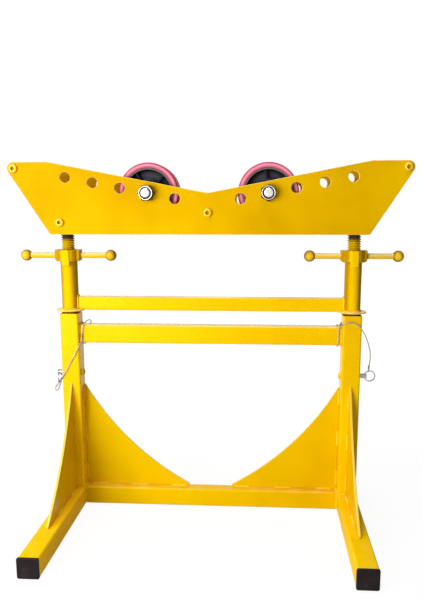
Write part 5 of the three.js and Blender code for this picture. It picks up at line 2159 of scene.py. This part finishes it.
@dataclass
class Roller:
    """A polyurethane roller on its ribbed core and bush."""

    side: Side
    centre: Point3
    ribs: Recipe
    lean: float
    radius: float = 62.5
    half_width: float = 25.0
    bore: float = 51.0
    edge: float = 5.0
    core_radius: float = 50.9
    rim: float = 47.7
    web_half: float = 8.0
    hub: float = 28.4
    hub_half: float = 32.7
    core_bore: float = 20.4
    rib_count: int = 5
    rib_thickness: float = 4.0
    rib_recess: float = 5.0
    bush_radius: float = 20.1
    bush_bore: float = 15.1

    @property
    def body(self) -> str:
        """The body that the roller turns with."""
        return f"roller_{self.side.word}"

    def build(self) -> None:
        """Makes the tyre, the core and the bush."""
        word = self.side.word
        add_piece(f"roller_tyre_{word}_tread", self.tyre(), TREAD, self.body, [f"roller_tyre_{word}"])
        add_piece(f"roller_core_{word}_wheel", self.core(), CORE, self.body, [f"roller_core_{word}"])
        half = self.hub_half
        profile = [(self.bush_bore, -half), (self.bush_radius, -half), (self.bush_radius, half), (self.bush_bore, half)]
        bush = turned(profile, Axis.Y, self.centre, Ends.JOINED)
        add_piece(f"roller_bush_{word}_sleeve", finished(rough_mesh(bush)), BRONZE, self.body, [f"roller_bush_{word}"])

    def tyre(self) -> bpy.types.Mesh:
        """Makes the tread, with rounded shoulders and a slight crown."""
        half = self.half_width
        corners = [
            (self.bore, 0.0),
            (self.bore, -half + 1.2),
            (self.bore + 1.2, -half),
            (self.radius - 0.15, -half),
            (self.radius, 0.0),
            (self.radius - 0.15, half),
            (self.bore + 1.2, half),
            (self.bore, half - 1.2),
            (self.bore, 0.0),
        ]
        profile = eased(corners, self.edge, 6)[:-1]
        return finished(rough_mesh(turned(profile, Axis.Y, self.centre, Ends.JOINED, 128)), 50)

    def core(self) -> bpy.types.Mesh:
        """Makes the core: rim, web and hub, with ribs on both faces of the web."""
        half = self.half_width
        soft = 1.0
        back = [(self.core_bore, -self.hub_half), (self.hub - soft, -self.hub_half), (self.hub, soft - self.hub_half)]
        back += [(self.hub + 1.5, -self.web_half), (self.rim - 1.5, -self.web_half)]
        back += [(self.rim, soft - half), (self.rim + soft, -half)]
        front = [(radius, -along) for radius, along in reversed(back)]
        profile = [*back, (self.core_radius, -half), (self.core_radius, half), *front]
        disc = rough_mesh(turned(profile, Axis.Y, (0, 0, 0), Ends.JOINED, 96))
        disc.transform(Matrix.Scale(MM, 4))
        overlap = 1.2
        mesh = self.ribs.run(
            disc, CORE,
            Length=(self.rim - self.hub + 2 * overlap) * MM, Width=2 * (half - self.rib_recess) * MM,
            Thickness=self.rib_thickness * MM, Middle=(self.rim + self.hub) / 2 * MM,
            Lean=math.radians(self.lean), Count=self.rib_count,
        )
        mesh.transform(Matrix.Translation(Vector(self.centre) * MM))
        mesh.transform(Matrix.Scale(1 / MM, 4))
        return finished(mesh, 32)


@dataclass
class LockingPin:
    """A pin in a post's outer wall, with its split ring."""

    stock: Stock
    side: Side
    radius: float = 5.0
    tip: float = 320.8
    end: float = 338.5
    eye: float = 334.0
    chamfer: float = 1.0
    ring_radius: float = 11.2
    ring_wire: float = 2.6

    def build(self) -> None:
        """Makes the pin and its ring."""
        s = self.stock
        word = self.side.word
        cut = self.radius - self.chamfer
        profile = [
            (cut, self.tip),
            (self.radius, self.tip + self.chamfer),
            (self.radius, self.end - self.chamfer),
            (cut, self.end),
        ]
        placed = [(r, self.side.value * along) for r, along in profile]
        pin = rough_mesh(turned(placed, Axis.X, (0, 0, s.pin_height), steps=40))
        centre, plane = self.ring_place()
        drill = Axis.Y if plane is Axis.X else Axis.Z
        eye = (self.side.value * (self.eye + 0.4), 0, s.pin_height)
        if drill is Axis.Y:
            eye = (self.side.value * self.eye, 0, s.pin_height - 0.4)
        bore = turned([(2.1, -10), (2.1, 10)], drill, eye, steps=24)
        add_piece(f"locking_pin_{word}_rod", finished(carved(pin, bore)), ZINC, f"pin_{word}", [f"locking_pin_{word}"])
        add_piece(f"pin_ring_{word}_coil", self.ring(centre, plane), ZINC, f"pin_{word}", [f"pin_ring_{word}"])

    def ring_place(self) -> tuple[Point3, Axis]:
        """Gives the ring's middle and the axis that it lies square to."""
        z = self.stock.pin_height
        if self.side is Side.RIGHT:
            return (self.eye + self.ring_radius, 0, z), Axis.Y
        return (-self.eye, 0, z - self.ring_radius), Axis.X

    def ring(self, centre: Point3, axis: Axis) -> bpy.types.Mesh:
        """Makes a split ring, two flat turns that lie side by side.

        Args:
            centre: Its middle.
            axis: Axis that it lies square to.

        Returns:
            The finished mesh.
        """
        steps = 160
        thick = self.ring_wire / 2 - 0.05
        turns = 1.97
        rings = []
        for i in range(steps + 1):
            share = i / steps
            angle = TURN * (turns * share + 0.62)
            shift = max(-1.0, min(1.0, (share - 0.5) * 12)) * (thick / 2 + 0.025)
            out = axis.point(math.cos(angle), math.sin(angle), 0)
            side = axis.point(0, 0, 1)
            section = rounded_rectangle((-self.ring_wire / 2, -thick / 2), (self.ring_wire / 2, thick / 2), 0.35, 2)
            rings.append([Vector(centre) + out * (self.ring_radius + a) + side * (b + shift) for a, b in section])
        return finished(rough_mesh(loft(rings)), 50)


@dataclass
class Studio:
    """A plain pale floor, a white surround and soft lights."""

    floor_half: float = 6.0
    floor_colour: Colour = (0.6, 0.6, 0.6)
    floor_glow: float = 0.88
    shadow_reach: Point2 = (0.6, 1.6)
    fill: float = 0.12

    def build(self) -> None:
        """Makes the floor, the surround and the lights."""
        view = bpy.context.scene.view_settings
        view.view_transform = "Standard"
        self.floor()
        self.surround()
        self.light("key", (-1.1, -1.5, 0.7), 1.2, 28.0)
        self.light("top", (-0.2, -0.1, 2.4), 1.2, 34.0)
        self.light("fill", (-0.6, -1.4, 0.2), 0.8, 8.0)
        self.light("rear", (-0.5, 2.0, 0.9), 1.2, 24.0, glossy=False)

    def floor(self) -> None:
        """Makes the floor, which shows white away from the shadow."""
        mesh = bpy.data.meshes.new("floor")
        h = self.floor_half
        mesh.from_pydata([(-h, -h, 0), (h, -h, 0), (h, h, 0), (-h, h, 0)], [], [(0, 1, 2, 3)])
        material = bpy.data.materials.new("PaleFloor")
        material.use_nodes = True
        graph = Graph(material.node_tree)
        shader = material.node_tree.nodes["Principled BSDF"]
        shader.inputs["Base Color"].default_value = (*self.floor_colour, 1)
        shader.inputs["Roughness"].default_value = 0.9
        shader.inputs["Specular IOR Level"].default_value = 0.0
        glow = graph.add("ShaderNodeEmission")
        rays = graph.add("ShaderNodeLightPath")
        seen = graph.math("MAXIMUM", rays.outputs["Is Camera Ray"], rays.outputs["Is Glossy Ray"])
        seen = graph.math("MAXIMUM", seen, rays.outputs["Is Transmission Ray"])
        blend = graph.add("ShaderNodeMixShader")
        glow.inputs["Strength"].default_value = 1.06
        away = graph.add("ShaderNodeVectorMath", operation="LENGTH")
        graph.feed(away.inputs[0], graph.object_place())
        fade = graph.ramp(away.outputs["Value"], *self.shadow_reach)
        share = graph.math("MULTIPLY_ADD", fade, 1.0 - self.floor_glow, self.floor_glow)
        graph.feed(blend.inputs[0], graph.math("MULTIPLY", seen, share))
        graph.feed(blend.inputs[1], shader.outputs[0])
        graph.feed(blend.inputs[2], glow.outputs[0])
        graph.feed(material.node_tree.nodes["Material Output"].inputs["Surface"], blend.outputs[0])
        mesh.materials.append(material)
        floor = bpy.data.objects.new("floor", mesh)
        bpy.context.scene.collection.objects.link(floor)

    def surround(self) -> None:
        """Makes the white surround, which lights the stand less than it shows."""
        world = bpy.data.worlds.new("surround")
        world.use_nodes = True
        bpy.context.scene.world = world
        graph = Graph(world.node_tree)
        back = world.node_tree.nodes["Background"]
        back.inputs["Color"].default_value = (1, 1, 1, 1)
        rays = graph.add("ShaderNodeLightPath")
        seen = graph.math("MAXIMUM", rays.outputs["Is Camera Ray"], rays.outputs["Is Glossy Ray"])
        seen = graph.math("MAXIMUM", seen, rays.outputs["Is Transmission Ray"])
        strength = graph.math("MULTIPLY_ADD", seen, 1.0 - self.fill, self.fill)
        graph.feed(back.inputs["Strength"], strength)

    def light(self, name: str, place: Point3, size: float, power: float, glossy: bool = True) -> None:
        """Makes a soft light that looks at the stand.

        Args:
            name: The light's name.
            place: Where it stands, in metres.
            size: Side of its square, in metres.
            power: Its power, in watts.
            glossy: Whether gloss shows it.
        """
        data = bpy.data.lights.new(name, "AREA")
        data.size = size
        data.energy = power
        lamp = bpy.data.objects.new(name, data)
        lamp.location = place
        lamp.visible_glossy = glossy
        aim = Vector((0, 0, 0.4)) - Vector(place)
        lamp.rotation_euler = aim.to_track_quat("-Z", "Y").to_euler()
        bpy.context.scene.collection.objects.link(lamp)


RIGHT_ROUTE = (
    (279.7, -14.6, 422.7), (277.1, -10.6, 418.1), (273.9, -6.0, 414.6), (273.92, 16.0, 414.6),
    (273.94, 20.31, 412.81), (273.97, 22.1, 408.5), (273.99, 22.1, 376.5), (274.01, 20.31, 372.19),
    (274.03, 16.0, 370.4), (274.06, -6.0, 370.4), (274.08, -10.31, 372.19), (274.1, -12.1, 376.5),
    (274.6, -12.0, 393.5), (275.3, -12.6, 406.5), (278.2, -16.0, 415.5), (284.0, -21.9, 421.1),
    (290.0, -23.0, 423.79), (297.5, -23.4, 424.54), (305.5, -23.4, 423.25), (313.4, -23.4, 418.74),
    (320.4, -23.2, 411.86), (326.4, -22.4, 402.82), (332.2, -20.8, 391.0), (337.2, -18.4, 378.1),
    (341.1, -15.4, 364.77), (343.1, -12.2, 351.76), (343.5, -6.8, 339.6), (343.0, -3.4, 329.6),
    (342.7, -1, 323.1), (342.6, 0, 318.1),
)

LEFT_ROUTE = (
    (-277.3, -12.1, 393.5), (-276.9, -12.1, 376.5), (-275.58, -10.31, 372.19), (-274.26, -6.0, 370.4),
    (-272.93, 16.0, 370.4), (-271.61, 20.31, 372.19), (-270.29, 22.1, 376.5), (-268.97, 22.1, 408.5),
    (-264.6, 20.5, 414.7), (-264.7, 14.0, 419.3), (-265.8, 5.0, 420.9), (-268.3, -4.0, 419.5),
    (-271.8, -11.2, 415.1), (-274.6, -14.2, 408.0), (-276.1, -15.2, 398.5), (-276.9, -15.6, 388.5),
    (-277.7, -16.4, 379.5), (-281.0, -20.4, 371.11), (-284.8, -22.7, 362.19), (-290.3, -23.3, 351.33),
    (-297.3, -23.4, 339.08), (-304.8, -23.4, 325.75), (-312.2, -23.3, 312.42), (-318.8, -22.6, 300.59),
    (-324.8, -20, 289.3), (-329.1, -17.8, 277.8), (-334.2, -14.6, 268.3), (-340.0, -10.4, 264.3),
    (-343.2, -6, 267.3), (-342.0, -2.4, 272.9), (-339.2, -0.6, 277.1), (-336.6, 0, 280.7),
)


def main() -> None:
    """Builds the stand's sub-assemblies in order."""
    logging.basicConfig(level=logging.INFO, format="%(message)s")
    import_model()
    stock = Stock()
    PhotoCamera().build()
    Lanyard(
        Side.RIGHT, RIGHT_ROUTE, 0.312, (343.0, -13.0, 360.0), (342.6, 0.0, 322.0), (342.6, 0.0, 316.9)
    ).build()
    Lanyard(
        Side.LEFT, LEFT_ROUTE, 0.331, (-319.8, -22.6, 300.5), (-339.6, -0.6, 276.8), (-335.2, 0.0, 281.9)
    ).build()
    beads = bead_recipe()
    BaseFrame(stock, beads).build()
    InnerFrame(stock, beads).build()
    head = Head(stock, beads, thread_recipe())
    head.build()
    ribs = rib_recipe()
    for side, lean in ((Side.LEFT, 40.0), (Side.RIGHT, -8.0)):
        JackNut(stock, side).build()
        Roller(side, head.axle(side), ribs, lean).build()
        LockingPin(stock, side).build()
    Studio().build()


if __name__ == "__main__":
    main()
